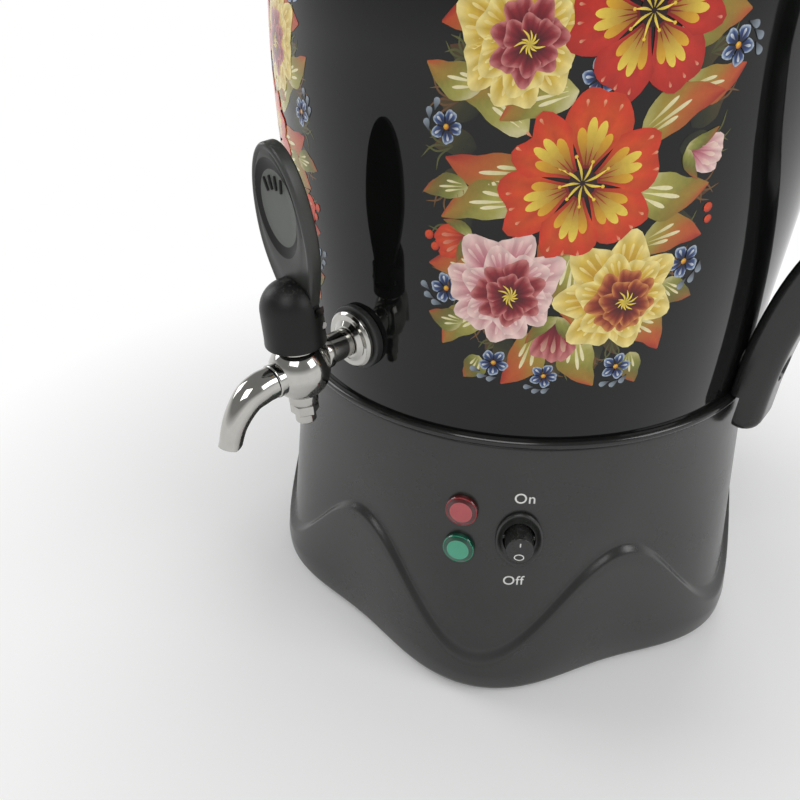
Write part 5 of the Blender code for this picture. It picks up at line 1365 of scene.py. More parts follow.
def make_switch():
    panel = switch_panel()
    wide, tall, stand, edge = 9.3 * MM, 12.7 * MM, 1.8 * MM, 0.8 * MM
    window, body = (6.4 * MM, 7.6 * MM), (7.6 * MM, 8.8 * MM)
    sections = [
        ellipse(*body, -15 * MM), ellipse(*body, PLAY), ellipse(wide - 0.3 * MM, tall - 0.3 * MM, PLAY),
        ellipse(wide, tall, 0.6 * MM)]
    for turn in quarter(4):
        inset = edge * (1.0 - cos(turn))
        sections.append(ellipse(wide - inset, tall - inset, stand - edge * (1.0 - sin(turn))))
    dish = 1.1 * MM
    for step in range(1, 8):
        share = step / 8
        width = wide - dish + (window[0] - wide + dish) * share
        height = tall - dish + (window[1] - tall + dish) * share
        sections.append(ellipse(width, height, stand - 0.05 * MM - dish * sin(pi / 2 * share)))
    sections += [ellipse(window[0] + 0.1 * MM, window[1] + 0.1 * MM, 0.65 * MM), ellipse(*window, 0.45 * MM),
                 ellipse(*window, -13.8 * MM)]
    bezel = mesh_object("oval_bezel", lofted(sections, matrix=panel))
    pivot = panel @ at(0.0, 0.0, -1.5 * MM)
    pivot_line = pivot @ Matrix.Rotation(pi / 2, 4, "Y")
    combined(bezel, "DIFFERENCE", [cylinder(1.5 * MM, -7.3 * MM, 7.3 * MM, 24, pivot_line)])
    finished(bezel, plastic_finish(), "black_plastic", ["switch_bezel"])
    rest = pivot @ Matrix.Rotation(radians(9.0), 4, "X")
    half_wide, half_tall, face, edge = 5.8 * MM, 7.0 * MM, 8.0 * MM, 0.6 * MM
    insets = [(-5 * MM, MM), (0.0, 0.0), (face - edge, 0.5 * MM)]
    insets += [(face - edge * (1.0 - sin(t)), 0.5 * MM + edge * (1.0 - cos(t))) for t in quarter(4)[1:]]
    sections = [ellipse(half_wide - inset, half_tall - inset, level) for level, inset in insets]
    for scale, level in ((0.8, face + 0.02 * MM), (0.4, face - 0.12 * MM)):
        sections.append(ellipse(scale * (half_wide - dish), scale * (half_tall - dish), level))
    rocker = mesh_object("rocker_cap", lofted(sections, matrix=rest))
    combined(rocker, "UNION", [cylinder(1.2 * MM, -7 * MM, 7 * MM, 24, pivot_line)])
    finished(rocker, handle_finish(), "black_plastic", ["rocker"], "rocker")
    lift = face + 0.02 * MM
    loops = [outline_box(0.23 * MM, MM, lift + level * MM, 0.2 * MM) for level in (-0.1, 0.04)]
    bar = lofted(loops, matrix=rest @ at(0.0, 3.4 * MM, 0.0))
    loops = []
    for inset, level in ((0.0, -0.14), (0.0, 0.04), (0.42, 0.04), (0.42, -0.14)):
        loops.append(ellipse((2.0 - inset) * MM, (1.65 - inset) * MM, lift + level * MM))
    ring = lofted(loops, closed=True, matrix=rest @ at(0.0, -3.3 * MM, 0.0))
    for name, shape in (("rocker_mark_on", bar), ("rocker_mark_off", ring)):
        piece(name, shape, legend_finish(), "black_plastic", (), "rocker")


def make_legends():
    """The words beside the switch, laid on the curved skirt."""
    for word, azimuth, height in (("On", 37.5, 0.1036), ("Off", 36.6, 0.0644)):
        curve = bpy.data.curves.new(f"word_{word}", "FONT")
        curve.body = word
        curve.size = 6.2 * MM
        curve.align_x = "CENTER"
        curve.align_y = "CENTER"
        curve.space_character = 1.06
        curve.offset = 0.035 * MM
        text = linked(f"word_{word}", curve)
        shape = shape_of(evaluated_mesh(text))
        bpy.data.objects.remove(text, do_unlink=True)
        bmesh.ops.remove_doubles(shape, verts=shape.verts, dist=1e-6)
        face_out(shape)
        for face in shape.faces:
            if face.normal.z < 0.0:
                face.normal_flip()
        raised = bmesh.ops.extrude_face_region(shape, geom=list(shape.faces))
        top = {vert for vert in raised["geom"] if isinstance(vert, bmesh.types.BMVert)}
        centre = radians(azimuth)
        radius = skirt_radius(centre, height)
        for vert in shape.verts:
            spot = on_skirt(centre + vert.co.x / radius, height + vert.co.y)
            lift = 0.05 * MM if vert in top else -0.03 * MM
            vert.co = spot @ Vector((0.0, 0.0, lift))
        piece(f"legend_{word.lower()}", shape, legend_finish(), "black_plastic")


# Mains inlet

def make_inlet():
    inlet = inlet_frame()
    wide, tall = 13.5 * MM, 9.8 * MM
    face, floor = PLAY + 2.2 * MM, -18.5 * MM
    sections = []
    for grow, level, corner in ((0.0, -20 * MM, 2.0), (0.0, PLAY, 2.0), (2.5, PLAY, 3.0),
                                (2.5, face - 0.6 * MM, 3.0), (2.3, face - 0.2 * MM, 3.0), (1.8, face, 2.6),
                                (-1.2, face, 2.0), (-1.5, face - 0.4 * MM, 1.8), (-1.5, floor, 1.8)):
        sections.append(outline_box(wide + grow * MM, tall + grow * MM, level, corner * MM))
    shell = lofted(sections, matrix=inlet)
    piece("inlet_shell", shell, handle_finish(), "black_plastic", ["power_inlet"])
    tip = floor + 11 * MM
    sections = [
        outline_box(MM, 2 * MM, floor + PLAY, 0.2 * MM), outline_box(MM, 2 * MM, tip - 0.8 * MM, 0.2 * MM),
        outline_box(0.55 * MM, 1.5 * MM, tip, 0.2 * MM)]
    for name, across, up in (
            ("earth", 0.0, 2 * MM), ("live", 7 * MM, -2 * MM), ("neutral", -7 * MM, -2 * MM)):
        pin = lofted(sections, matrix=inlet @ at(across, up, 0.0))
        piece(f"blade_pin_{name}", pin, brass_finish(), "brass", [f"inlet_pin_{name}"])


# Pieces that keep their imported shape

KEPT_NODES = (
    (steel_finish, ("tank_floor", "heater_element", "handle_boss_right", "handle_boss_left",
                    "handle_bracket_right", "handle_bracket_left", "tap_stem", "lever_pin")),
    (aluminium_finish, ("heater_plate", "thermal_fuse")),
    (phenolic_finish, ("boil_thermostat", "keep_warm_thermostat", "lamp_holder_red", "lamp_holder_green")),
    (silicone_finish, ("tap_inner_washer", "tap_seal")),
    (brass_finish, ("tap_locknut", "stem_guide")),
)


def dress_kept_nodes():
    for material, names in KEPT_NODES:
        for name in names:
            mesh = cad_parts[name].data
            mesh.materials.clear()
            mesh.materials.append(material())


# Flower print

PRINT_LEVEL = 0.222
PRINTS = (("right", radians(39.4), 1.0), ("left", radians(-33.0), -1.0))
PRINT_SEED = 7
# Heights off the enamel in millimetres: a stroke's underside, the lowest top and the step of a layer
UNDER_LIFT, LOW_LIFT, LAYER_LIFT = 0.025, 0.04, 0.004


def tint(code):
    """A linear colour from a six-digit code."""
    parts = [int(code[index:index + 2], 16) / 255.0 for index in (0, 2, 4)]
    return Vector([part / 12.92 if part < 0.04045 else ((part + 0.055) / 1.055) ** 2.4 for part in parts])


def gradient(stops, share):
    """A colour between the stops at a share from 0 to 1."""
    place = min(max(share, 0.0), 1.0) * (len(stops) - 1)
    index = min(int(place), len(stops) - 2)
    return stops[index].lerp(stops[index + 1], place - index)


def colours(codes):
    return [tint(code) for code in codes.split()]


CORAL = colours("2e0705 8c1c10 c23a1c d8501f c9361c")
SCARLET = colours("2a0505 7a120d b3241a c93425 b02318")
PINK = colours("7a1f33 a84558 c77a86 d9a3a4 ecd0c8")
WINE = colours("33060f 5e0f1c 7f1c28 9a3038 c9807c")
GOLD = colours("6b3a10 a8741c cc9f2c dab845 ecdc92")
RUST = colours("2c0a06 5a160e 7d2718 9c3d22 d08a4a")
NAVY = colours("070b1c 131f44 22386b 3b5585 b9c7d6")
OLIVE = colours("c9c084 8f9040 6f7030 8a6a28 b5522a")
AMBER = colours("b9b26a a39238 b9702c c24e26 b03220")
LIME = colours("e0d8a4 b4ad55 8f8a38 a87a2e c2562a")
SHADE = colours("15160a 24260f 383517 4a3a18 5a3218")
SILVER = colours("20262e 4a535e 8d98a4 d5dbe0")
STRAW = colours("8a4a14 c97a1c e0ad2e ecd050")
BROWN = tint("6b4a26")
MOSS = tint("55562a")
PALE = tint("e6dcb0")


def ray(centre, turn, reach):
    return (centre[0] + reach * sin(turn), centre[1] + reach * cos(turn))


class Brush:
    """Collects painted strokes as thin closed slabs on the tank, in millimetres round a print's centre."""

    def __init__(self, azimuth, mirror):
        self.azimuth = azimuth
        self.mirror = mirror
        self.luck = random.Random(PRINT_SEED)
        self.points = []
        self.faces = []
        self.paints = []
        self.layer = 0

    def put(self, x, y, colour, lift):
        """One point of a stroke, lifted off the tank's enamel along its normal."""
        height = PRINT_LEVEL + y * MM
        slope = (tank_radius_at(height + 0.0005) - tank_radius_at(height - 0.0005)) / 0.001
        flat = hypot(1.0, slope)
        turn = self.azimuth + self.mirror * x * MM / sizes().tank_radius
        radius = tank_radius_at(height) + lift * MM / flat
        self.points.append(polar(turn, radius, height - lift * MM * slope / flat))
        self.paints.append(colour)

    def slab(self, grid, rise=0, closed=False):
        """One stroke: rows of (x, y, colour) on top, which may run round, then sides and an underside."""
        lift = LOW_LIFT + LAYER_LIFT * (self.layer + rise)
        start, rows, columns = len(self.points), len(grid), len(grid[0])
        for line in grid:
            for point in line:
                self.put(*point, lift)
        for row in range(rows - 1):
            near = start + row * columns
            far = near + columns
            for column in range(columns if closed else columns - 1):
                after = (column + 1) % columns
                self.faces.append((near + column, near + after, far + after, far + column))
        rim = [(0, column) for column in range(columns)]
        if closed:
            self.faces.append(tuple(start + (rows - 1) * columns + column for column in range(columns)))
        else:
            rim += [(row, columns - 1) for row in range(1, rows)]
            rim += [(rows - 1, column) for column in range(columns - 2, -1, -1)]
            rim += [(row, 0) for row in range(rows - 2, 0, -1)]
        under, count = len(self.points), len(rim)
        for row, column in rim:
            self.put(*grid[row][column], UNDER_LIFT)
        tops = [start + row * columns + column for row, column in rim]
        for index in range(count):
            after = (index + 1) % count
            self.faces.append((tops[index], under + index, under + after, tops[after]))
        self.faces.append(tuple(under + index for index in range(count)))

    def stroke(self, rows, columns, point, rise=0):
        """A slab whose points follow a rule of v, the share along it, and u, from -1 to 1 across."""
        along = [row / (rows - 1) for row in range(rows)]
        across = [2.0 * column / (columns - 1) - 1.0 for column in range(columns)]
        self.slab([[point(v, u) for u in across] for v in along], rise)

    def fan(self, centre, turn, reach, spread, stops, notch=0.0, start=0.08, rows=9, columns=13, power=1.3,
            wave=0.05):
        """A broad petal that opens from a centre: turn is its direction, spread its half angle."""
        phase = self.luck.uniform(0.0, tau)

        def point(v, u):
            v = start + (1.0 - start) * v
            edge = 1.0 - 0.34 * abs(u) ** 2.4 - notch * exp(-(u / 0.28) ** 2)
            edge *= 1.0 + wave * sin(5.0 * u + phase)
            way = turn + u * spread * (0.30 + 0.70 * sqrt(v))
            streak = 0.5 + 0.5 * sin(11.0 * u + phase)
            colour = gradient(stops, v ** power + 0.12 * (streak - 0.5) * v)
            return (*ray(centre, way, reach * v * edge), colour * (0.80 + 0.28 * streak * v))

        self.stroke(rows, columns, point)
        self.layer += 1

    def leaf(self, base, tip, width, stops, bend=0.0, rows=13, columns=7, strokes=True):
        """A pointed leaf from base to tip with a few light strokes along it."""
        base, tip = Vector(base), Vector(tip)
        along = tip - base
        side = Vector((along.y, -along.x)).normalized()

        def middle(v):
            return base + along * v + side * bend * sin(pi * v)

        def point(v, u):
            half = width * (0.05 + sin(pi * v ** 0.72) ** 0.9) * 0.5
            half *= 1.0 + 0.10 * sin(17.0 * v) * v
            share = 0.05 + 0.85 * v + 0.16 * u + 0.05 * sin(13.0 * v + 4.0 * u)
            return (*(middle(v) + side * half * u), gradient(stops, share) * (0.92 - 0.16 * abs(u)))

        self.stroke(rows, columns, point)
        self.layer += 1
        if strokes:
            for shift, reach in ((-0.20, 0.50), (0.02, 0.62), (0.22, 0.44)):
                first = middle(0.12) + side * shift * width * 0.5
                self.drop(first, middle(reach) + side * shift * width, 0.10 * width, stops[0], PALE)

    def drop(self, first, last, width, near, far, rows=8):
        """A stroke that swells towards a round end."""
        first, last = Vector(first), Vector(last)
        along = last - first
        side = Vector((along.y, -along.x)).normalized()

        def point(v, u):
            v = sin(pi / 2 * v)
            half = width / 2 * (0.14 + 0.86 * smooth(v / 0.75))
            if v > 0.75:
                half *= max(0.12, sqrt(max(0.0, 1.0 - ((v - 0.75) / 0.25) ** 2)))
            return (*(first + along * v + side * half * u), near.lerp(far, v))

        self.stroke(rows, 3, point, 3)

    def tendril(self, points, width, colour, rows=6):
        """A thin stroke that swells and tapers along a curve."""
        path = smooth_path([Vector(point) for point in points], rows)
        last = len(path) - 1
        grid = []
        for index, (point, along) in enumerate(zip(path, directions(path))):
            side = Vector((along.y, -along.x)) * width * (0.12 + 0.88 * sin(pi * index / last)) / 2
            tone = colour * (0.6 + 0.6 * index / last)
            grid.append([(*(point - side), tone), (*(point + side), tone)])
        self.slab(grid)

    def tuft(self, base, turn, reach, count, colour):
        """A spray of fine curved blades."""
        for blade in range(count):
            lean = turn + (blade - (count - 1) / 2) * 0.30
            size = reach * self.luck.uniform(0.75, 1.15)
            middle = ray(base, lean, 0.6 * size)
            tip = ray(middle, lean + (0.7 if blade % 2 else -0.7), 0.5 * size)
            self.tendril([base, middle, tip], 0.6, colour, 5)

    def dot(self, centre, radius, stops, steps=10):
        """A round berry or stamen with a lighter upper left."""
        grid = []
        for ring in (1.0, 0.6, 0.2):
            shift = 0.12 * radius * (1 - ring)
            line = []
            for t in circle(steps):
                tone = gradient(stops, 0.25 + 0.65 * (1.0 - ring) + 0.2 * cos(t - 2.3))
                line.append((centre[0] + radius * ring * cos(t) - shift,
                             centre[1] + radius * ring * sin(t) + shift, tone))
            grid.append(line)
        self.slab(grid, closed=True)

    def made(self, name):
        """The strokes so far as one mesh with its own paint colours."""
        shape = bmesh.new()
        layer = shape.verts.layers.float_color.new("paint")
        verts = []
        for point, paint in zip(self.points, self.paints):
            vert = shape.verts.new(point)
            vert[layer] = (*paint, 1.0)
            verts.append(vert)
        for face in self.faces:
            shape.faces.new([verts[index] for index in face])
        face_out(shape)
        return plain_object(name, shape)


def open_flower(brush, centre, reach, stops, petals, turn):
    """A wide flower: broad notched petals with yellow strokes, a dark throat and fine stamens."""
    for index in (*range(0, petals, 2), *range(1, petals, 2)):
        way = turn + tau * index / petals
        size = reach * brush.luck.uniform(0.94, 1.06)
        brush.fan(centre, way, size, 0.56 * tau / petals, stops, notch=0.13, power=0.9)
        for lean, length in ((-0.30, 0.60), (-0.10, 0.70), (0.10, 0.68), (0.30, 0.58)):
            brush.drop(ray(centre, way + 0.7 * lean, 0.20 * reach), ray(centre, way + lean, length * reach),
                       0.11 * reach, STRAW[0], STRAW[3] if abs(lean) < 0.2 else STRAW[2])
        for lean in (-0.22, 0.0, 0.22):
            brush.drop(ray(centre, way + lean, 0.80 * reach), ray(centre, way + lean, 0.88 * reach),
                       0.035 * reach, stops[3], stops[3].lerp(PALE, 0.45), rows=5)
        brush.layer += 1
    brush.dot(centre, 0.17 * reach, [stops[0], stops[0] * 0.5])
    brush.layer += 1
    for index in range(9):
        way = turn + 0.2 + tau * index / 9
        length = reach * brush.luck.uniform(0.22, 0.32)
        line = [ray(centre, way, 0.03 * reach), ray(centre, way + 0.1, length / 2), ray(centre, way, length)]
        brush.tendril(line, 0.03 * reach, STRAW[3], 3)
        brush.dot(ray(centre, way, length), 0.022 * reach, STRAW[2:], 6)
    brush.layer += 1


def full_flower(brush, centre, reach, outer, inner, turn):
    """A double flower: pale shell petals outside, a dark cup with fine pale rims and stamens inside."""
    rings = ((7, 1.0, outer), (6, 0.76, outer), (7, 0.58, inner), (6, 0.42, inner))
    for ring, (count, size, stops) in enumerate(rings):
        middle = (centre[0] + 0.05 * reach * ring, centre[1] - 0.05 * reach * ring)
        for index in range(count):
            way = turn + tau * (index + 0.5 * ring) / count
            brush.fan(middle, way, reach * size * brush.luck.uniform(0.92, 1.06), 0.62 * tau / count, stops,
                      start=0.12, wave=0.08, power=1.7 if ring > 1 else 1.2)
            if ring < 2:
                for lean in (-0.16, 0.02, 0.2):
                    brush.drop(
                        ray(middle, way + lean, 0.55 * reach * size),
                        ray(middle, way + lean, 0.86 * reach * size), 0.05 * reach, stops[2], stops[4],
                        rows=6)
        brush.layer += 3
    heart = (centre[0] + 0.14 * reach, centre[1] - 0.14 * reach)
    brush.dot(heart, 0.12 * reach, inner[:2])
    brush.layer += 1
    for index in range(11):
        way = tau * index / 11
        length = reach * brush.luck.uniform(0.12, 0.24)
        line = [heart, ray(heart, way + 0.3, length / 2), ray(heart, way, length)]
        brush.tendril(line, 0.03 * reach, STRAW[3], 3)
    brush.layer += 1


def bud(brush, base, turn, reach, stops):
    """A closed flower on two sepals."""
    for lean in (-0.28, 0.28, 0.0):
        brush.fan(base, turn + lean, reach, 0.40, stops, rows=7, columns=9, power=0.9)
        brush.drop(ray(base, turn + lean, 0.4 * reach), ray(base, turn + lean, 0.82 * reach), 0.10 * reach,
                   stops[2], stops[4].lerp(PALE, 0.3))
    for lean in (-0.75, 0.75):
        brush.leaf(
            base, ray(base, turn + lean, 0.85 * reach), 0.28 * reach, OLIVE, bend=0.06 * reach, rows=9,
            columns=5, strokes=False)


def small_flower(brush, centre, reach):
    """A dark blue flower with pale strokes, a yellow eye and three silver commas beside it."""
    turn = brush.luck.uniform(0.0, tau)
    out = atan2(centre[0], centre[1] + 1.0)
    for step in range(3):
        base = ray(centre, out + (step - 1) * 0.55, 1.15 * reach)
        brush.drop(base, ray(base, out + 0.9 + 0.3 * step, 0.75 * reach), 0.42 * reach, SILVER[0], SILVER[2])
    for index in range(5):
        way = turn + tau * index / 5
        brush.fan(centre, way, reach, 0.56, NAVY, rows=6, columns=9, power=1.6)
        brush.drop(ray(centre, way, 0.35 * reach), ray(centre, way, 0.82 * reach), 0.16 * reach, NAVY[2],
                   SILVER[3], 6)
    brush.dot(centre, 0.18 * reach, STRAW, 8)
    brush.layer += 1


# Leaves as (base, tip, width, range of colours, bend)
LEAVES = (
    ((-14, 10), (-35, 21), 11, LIME, 3), ((-10, 0), (-37, 3), 12, AMBER, -3),
    ((-14, -9), (-38, -14), 11, LIME, 3), ((16, 8), (38, 19), 11, AMBER, -3),
    ((17, -5), (40, -5), 13, LIME, 3), ((22, -22), (42, -20), 11, AMBER, -3),
    ((-24, -32), (-42, -29), 10, AMBER, 2), ((-22, -44), (-37, -57), 11, LIME, 3),
    ((-7, -50), (-16, -70), 12, AMBER, -3), ((7, -50), (15, -70), 12, LIME, 3),
    ((22, -46), (36, -58), 11, AMBER, -3), ((-2, 20), (-22, 13), 10, LIME, 2),
    ((-16, 34), (-39, 36), 12, AMBER, 3), ((-12, 44), (-31, 55), 12, LIME, -3),
    ((22, 30), (41, 37), 12, LIME, -3), ((20, 44), (37, 55), 11, AMBER, 3),
    ((2, 50), (-11, 68), 12, AMBER, 3), ((9, 52), (20, 69), 11, LIME, -3),
    ((0, -18), (-7, -30), 9, AMBER, 1), ((3, -22), (5, -47), 11, LIME, 2),
    ((26, 20), (43, 25), 9, AMBER, 2), ((-26, 22), (-43, 27), 9, LIME, -2),
    ((-30, -5), (-44, -7), 7, OLIVE, 1), ((32, -34), (44, -40), 8, OLIVE, 1),
    ((-30, -48), (-42, -46), 8, OLIVE, -1), ((26, -58), (30, -70), 8, OLIVE, 1),
    ((-24, -60), (-29, -69), 8, OLIVE, -1), ((-34, 50), (-41, 60), 8, OLIVE, 1),
    ((34, 52), (42, 62), 8, OLIVE, -1), ((12, 66), (14, 76), 8, OLIVE, 1),
    ((-6, 66), (-8, 76), 8, OLIVE, -1),
)
# Small flowers and berries as (x, y, reach)
FILLERS = ((-36, -37, 5.2), (38, -28, 5.4), (-19, -62, 5.0), (22, -63, 5.0), (-37, 11, 4.6), (39, 29, 4.8),
           (-35, 46, 5.0), (32, 49, 4.8), (3, 23, 4.6), (-2, -66, 4.6))
BERRIES = (
    (-42, -20, 1.5), (-40, -23.5, 1.4), (42, -12, 1.5), (43, -15.5, 1.3), (-28, 30, 1.5), (33, 63, 1.4),
    (-3, 73, 1.4), (4, 75, 1.3))
# Buds as (base, turn, reach, colours), and large flowers as (layer, centre, reach, colours, turn)
BUDS = (((0, -44), pi, 16, WINE), ((-28, -19), -1.9, 12, CORAL), ((30, 5), 1.8, 12, PINK),
        ((0, 54), 0.0, 16, SCARLET))
FULL_FLOWERS = ((48, (-18, -35), 19, PINK, WINE, 0.3), (49, (18, -37), 19, GOLD, RUST, 0.1),
                (48, (-18, 33), 17, GOLD, WINE, 0.5))
OPEN_FLOWERS = ((61, (14, 37), 21, SCARLET, 0.4), (77, (2, -3), 24, CORAL, 0.15))


def bouquet(brush):
    """A folk bouquet: grass and dark leaves first, then leaves, fillers, buds and the large flowers."""
    for step in range(34):
        brush.layer = step % 5
        turn = tau * step / 34
        edge = (37.0 * sin(turn), 64.0 * cos(turn))
        way = atan2(edge[0], edge[1]) + brush.luck.uniform(-0.5, 0.5)
        bend = brush.luck.uniform(-2, 2)
        brush.leaf(ray(edge, way, -9.0), ray(edge, way, 4.0), 7.0, SHADE, bend, strokes=False)
        brush.tuft(ray(edge, way, -2.0), way, brush.luck.uniform(6.0, 9.0), 5, BROWN if step % 2 else MOSS)
    for index, leaf in enumerate(LEAVES):
        brush.layer = 6 + 5 * (index % 5)
        brush.leaf(*leaf)
    for x, y, reach in FILLERS:
        brush.layer = 32
        small_flower(brush, (x, y), reach)
    for x, y, radius in BERRIES:
        brush.dot((x, y), radius, CORAL[1:])
    for base, turn, reach, stops in BUDS:
        brush.layer = 40
        bud(brush, base, turn, reach, stops)
    for layer, centre, reach, outer, inner, turn in FULL_FLOWERS:
        brush.layer = layer
        full_flower(brush, centre, reach, outer, inner, turn)
    for layer, centre, reach, stops, turn in OPEN_FLOWERS:
        brush.layer = layer
        open_flower(brush, centre, reach, stops, 6, turn)


def make_prints():
    for name, azimuth, mirror in PRINTS:
        brush = Brush(azimuth, mirror)
        bouquet(brush)
        finished(brush.made(f"flower_print_{name}"), paint_finish(), "black_enamel")


# Stage

CAMERA_PLACE = Vector((0.1518, -0.2401, 0.2598))
CAMERA_FORWARD = Vector((-0.5875, 0.5960, -0.5474))
CAMERA_UP = Vector((-0.3633, 0.4101, 0.8365))
CAMERA_LENS, CAMERA_SENSOR = 26.55, 36.0
LIGHT_AIM = Vector((0.0, 0.0, 0.15))
# Lights as (name, place, size, power)
LIGHTS = (("key", (0.5, -1.0, 1.5), 0.9, 10.0), ("left", (-1.3, -0.5, 0.9), 0.7, 5.5),
          ("right", (1.3, 0.4, 1.0), 0.7, 6.0), ("back", (-0.5, 1.3, 1.2), 0.8, 6.0))
FLOOR_HALF, FLOOR_LEVEL = 8.0, -0.00005


def make_stage():
    scene = bpy.context.scene
    scene.view_settings.view_transform = "Standard"
    camera = linked("camera", bpy.data.cameras.new("camera"))
    camera.data.lens = CAMERA_LENS
    camera.data.sensor_width = CAMERA_SENSOR
    camera.data.clip_start = 0.01
    back = -CAMERA_FORWARD.normalized()
    across = CAMERA_UP.cross(back).normalized()
    matrix = Matrix((across, back.cross(across), back)).transposed().to_4x4()
    matrix.translation = CAMERA_PLACE
    camera.matrix_world = matrix
    scene.camera = camera
    make_floor()
    make_world()
    for name, place, size, power in LIGHTS:
        light = bpy.data.lights.new(name, "AREA")
        light.shape = "SQUARE"
        light.size = size
        light.energy = power
        lamp = linked(name, light)
        lamp.location = place
        lamp.rotation_euler = (LIGHT_AIM - lamp.location).to_track_quat("-Z", "Y").to_euler()


def make_floor():
    """A pale floor that keeps the shadow and fades to plain white away from the object."""
    shape = bmesh.new()
    bmesh.ops.create_grid(
        shape, x_segments=2, y_segments=2, size=FLOOR_HALF, matrix=at(0.0, 0.0, FLOOR_LEVEL))
    floor = mesh_object("studio_floor", shape)
    material, tree, shader, where = new_material("studio_floor")
    fill(tree, shader, {"Base Color": (*finishes().floor, 1.0), "Roughness": 0.9, "Specular IOR Level": 0.1})
    length = node(tree, "ShaderNodeVectorMath", {0: where}, operation="LENGTH")
    far = ranged(tree, length.outputs["Value"], 0.15, 0.42)
    path = node(tree, "ShaderNodeLightPath").outputs
    seen = math_node(tree, "MAXIMUM", path["Is Camera Ray"],
                     math_node(tree, "MAXIMUM", path["Is Glossy Ray"], path["Is Transmission Ray"]))
    glow = node(tree, "ShaderNodeEmission")
    mix = node(tree, "ShaderNodeMixShader", {
        0: math_node(tree, "MULTIPLY", far, seen), 1: shader.outputs[0], 2: glow.outputs[0]})
    fill(tree, tree.nodes["Material Output"], {"Surface": mix.outputs[0]})
    floor.data.materials.append(material)


def make_world():
    """A studio that is white at the horizon and grey overhead."""
    world = bpy.data.worlds.new("studio")
    bpy.context.scene.world = world
    world.use_nodes = True
    tree = world.node_tree
    where = node(tree, "ShaderNodeTexCoord").outputs["Generated"]
    height = node(tree, "ShaderNodeSeparateXYZ", {0: where}).outputs["Z"]
    values = {"Color": (1.0, 1.0, 1.0, 1.0), "Strength": ranged(tree, height, 0.06, 0.38, 1.0, 0.30)}
    fill(tree, tree.nodes["Background"], values)


# Operators

class SAMOVAR_OT_stage(Operator):
    """Set up the camera, the pale floor, the studio light and the world."""

    bl_idname = "samovar.stage"
    bl_label = "Stage"

    def execute(self, context):
        make_stage()
        return {"FINISHED"}


class SAMOVAR_OT_base_housing(Operator):
    """Mould the lobed base with its wavy ledge."""

    bl_idname = "samovar.base_housing"
    bl_label = "Base housing"

    def execute(self, context):
        make_housing()
        return {"FINISHED"}


class SAMOVAR_OT_seam_ring(Operator):
    """Make the bead between the base and the tank."""

    bl_idname = "samovar.seam_ring"
    bl_label = "Seam ring"

    def execute(self, context):
        make_seam_ring()
        return {"FINISHED"}


class SAMOVAR_OT_underside(Operator):
    """Make the bottom cover, the rubber feet and the cover's screws."""

    bl_idname = "samovar.underside"
    bl_label = "Underside"

    def execute(self, context):
        make_underside()
        return {"FINISHED"}


class SAMOVAR_OT_tank(Operator):
    """Spin the enamelled tank and pierce it for the tap."""

    bl_idname = "samovar.tank"
    bl_label = "Tank"

    def execute(self, context):
        make_tank()
        return {"FINISHED"}


class SAMOVAR_OT_mouth_rim(Operator):
    """Make the rolled rim of the tank's mouth."""

    bl_idname = "samovar.mouth_rim"
    bl_label = "Mouth rim"

    def execute(self, context):
        make_mouth_rim()
        return {"FINISHED"}


class SAMOVAR_OT_lid(Operator):
    """Make the lid with its seal and its two knobs."""

    bl_idname = "samovar.lid"
    bl_label = "Lid"

    def execute(self, context):
        make_lid()
        return {"FINISHED"}


class SAMOVAR_OT_teapot_stand(Operator):
    """Make the scalloped ring that holds a teapot."""

    bl_idname = "samovar.teapot_stand"
    bl_label = "Teapot stand"

    def execute(self, context):
        make_teapot_stand()
        return {"FINISHED"}


class SAMOVAR_OT_handles(Operator):
    """Make both side handles and their screws."""

    bl_idname = "samovar.handles"
    bl_label = "Handles"

    def execute(self, context):
        make_handle("right", 1.0)
        make_handle("left", -1.0)
        return {"FINISHED"}


class SAMOVAR_OT_tap_seat(Operator):
    """Make the tap's gasket and its dished flange."""

    bl_idname = "samovar.tap_seat"
    bl_label = "Tap seat"

    def execute(self, context):
        make_tap_seat()
        return {"FINISHED"}


class SAMOVAR_OT_tap_body(Operator):
    """Make the tap's ball, its spout, its plug and its spring."""

    bl_idname = "samovar.tap_body"
    bl_label = "Tap body"

    def execute(self, context):
        make_tap_body()
        make_spring()
        return {"FINISHED"}


class SAMOVAR_OT_tap_bonnet(Operator):
    """Make the domed bonnet over the valve."""

    bl_idname = "samovar.tap_bonnet"
    bl_label = "Tap bonnet"

    def execute(self, context):
        make_bonnet()
        return {"FINISHED"}


class SAMOVAR_OT_tap_lever(Operator):
    """Make the leaf-shaped lever and its thumb ribs."""

    bl_idname = "samovar.tap_lever"
    bl_label = "Tap lever"

    def execute(self, context):
        make_lever()
        return {"FINISHED"}


class SAMOVAR_OT_lamps(Operator):
    """Make the two lamps' lens caps with their studded faces."""

    bl_idname = "samovar.lamps"
    bl_label = "Lamps"

    def execute(self, context):
        make_lamps()
        return {"FINISHED"}


class SAMOVAR_OT_switch(Operator):
    """Make the switch's bezel, its rocker and the rocker's marks."""

    bl_idname = "samovar.switch"
    bl_label = "Switch"

    def execute(self, context):
        make_switch()
        return {"FINISHED"}


class SAMOVAR_OT_legends(Operator):
    """Lay the words beside the switch on the skirt."""

    bl_idname = "samovar.legends"
    bl_label = "Legends"

    def execute(self, context):
        make_legends()
        return {"FINISHED"}


class SAMOVAR_OT_inlet(Operator):
    """Make the inlet's shell and its three pins."""

    bl_idname = "samovar.inlet"
    bl_label = "Mains inlet"

    def execute(self, context):
        make_inlet()
        return {"FINISHED"}


class SAMOVAR_OT_prints(Operator):
    """Paint the two bouquets on the tank."""

    bl_idname = "samovar.prints"
    bl_label = "Flower prints"

    def execute(self, context):
        make_prints()
        return {"FINISHED"}


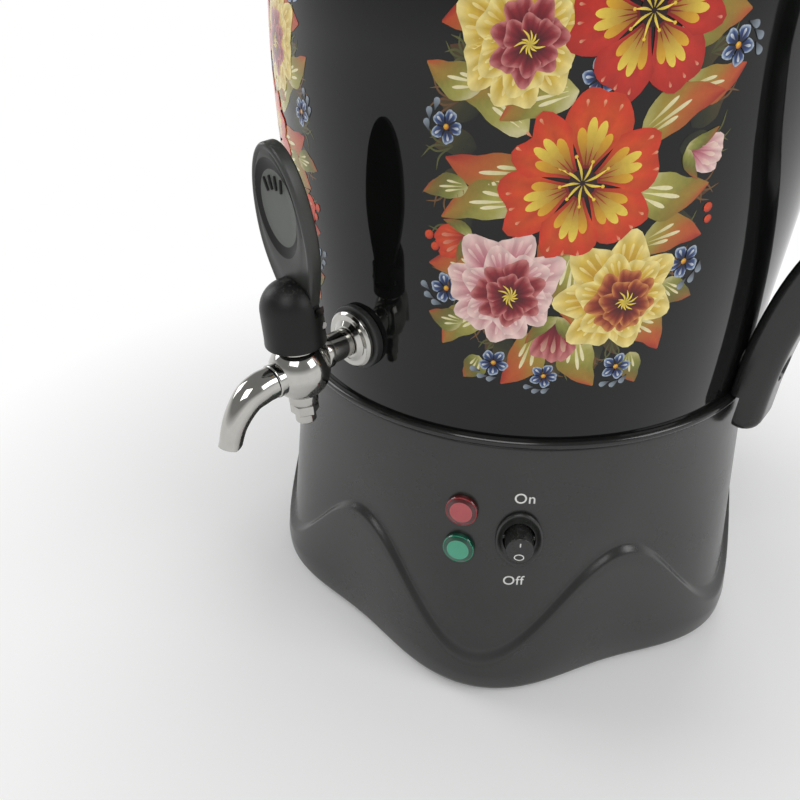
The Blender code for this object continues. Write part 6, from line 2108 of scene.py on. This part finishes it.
class SAMOVAR_OT_inner_parts(Operator):
    """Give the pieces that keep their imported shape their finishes."""

    bl_idname = "samovar.inner_parts"
    bl_label = "Inner parts"

    def execute(self, context):
        dress_kept_nodes()
        return {"FINISHED"}


OPERATORS = (
    SAMOVAR_OT_stage, SAMOVAR_OT_base_housing, SAMOVAR_OT_seam_ring, SAMOVAR_OT_underside,
    SAMOVAR_OT_tank, SAMOVAR_OT_mouth_rim, SAMOVAR_OT_lid, SAMOVAR_OT_teapot_stand, SAMOVAR_OT_handles,
    SAMOVAR_OT_tap_seat, SAMOVAR_OT_tap_body, SAMOVAR_OT_tap_bonnet, SAMOVAR_OT_tap_lever,
    SAMOVAR_OT_lamps, SAMOVAR_OT_switch, SAMOVAR_OT_legends, SAMOVAR_OT_inlet, SAMOVAR_OT_prints,
    SAMOVAR_OT_inner_parts,
)


class SAMOVAR_PT_sidebar(Panel):
    """Lists the samovar's steps and its settings."""

    bl_idname = "SAMOVAR_PT_sidebar"
    bl_label = "Samovar"
    bl_space_type = "VIEW_3D"
    bl_region_type = "UI"
    bl_category = "Samovar"

    def draw(self, context):
        layout = self.layout
        for settings in (context.scene.samovar_sizes, context.scene.samovar_finishes):
            box = layout.box()
            for label in settings.__annotations__:
                box.prop(settings, label)
        for operator in OPERATORS:
            layout.operator(operator.bl_idname)


CLASSES = (SamovarSizes, SamovarFinishes, *OPERATORS, SAMOVAR_PT_sidebar)


def register():
    for entry in CLASSES:
        bpy.utils.register_class(entry)
    bpy.types.Scene.samovar_sizes = PointerProperty(type=SamovarSizes)
    bpy.types.Scene.samovar_finishes = PointerProperty(type=SamovarFinishes)


def unregister():
    del bpy.types.Scene.samovar_finishes
    del bpy.types.Scene.samovar_sizes
    for entry in reversed(CLASSES):
        bpy.utils.unregister_class(entry)


def main():
    register()
    bpy.ops.samovar.stage()
    bpy.ops.samovar.base_housing()
    bpy.ops.samovar.seam_ring()
    bpy.ops.samovar.underside()
    bpy.ops.samovar.tank()
    bpy.ops.samovar.mouth_rim()
    bpy.ops.samovar.lid()
    bpy.ops.samovar.teapot_stand()
    bpy.ops.samovar.handles()
    bpy.ops.samovar.tap_seat()
    bpy.ops.samovar.tap_body()
    bpy.ops.samovar.tap_bonnet()
    bpy.ops.samovar.tap_lever()
    bpy.ops.samovar.lamps()
    bpy.ops.samovar.switch()
    bpy.ops.samovar.legends()
    bpy.ops.samovar.inlet()
    bpy.ops.samovar.prints()
    bpy.ops.samovar.inner_parts()


if __name__ == "__main__":
    main()
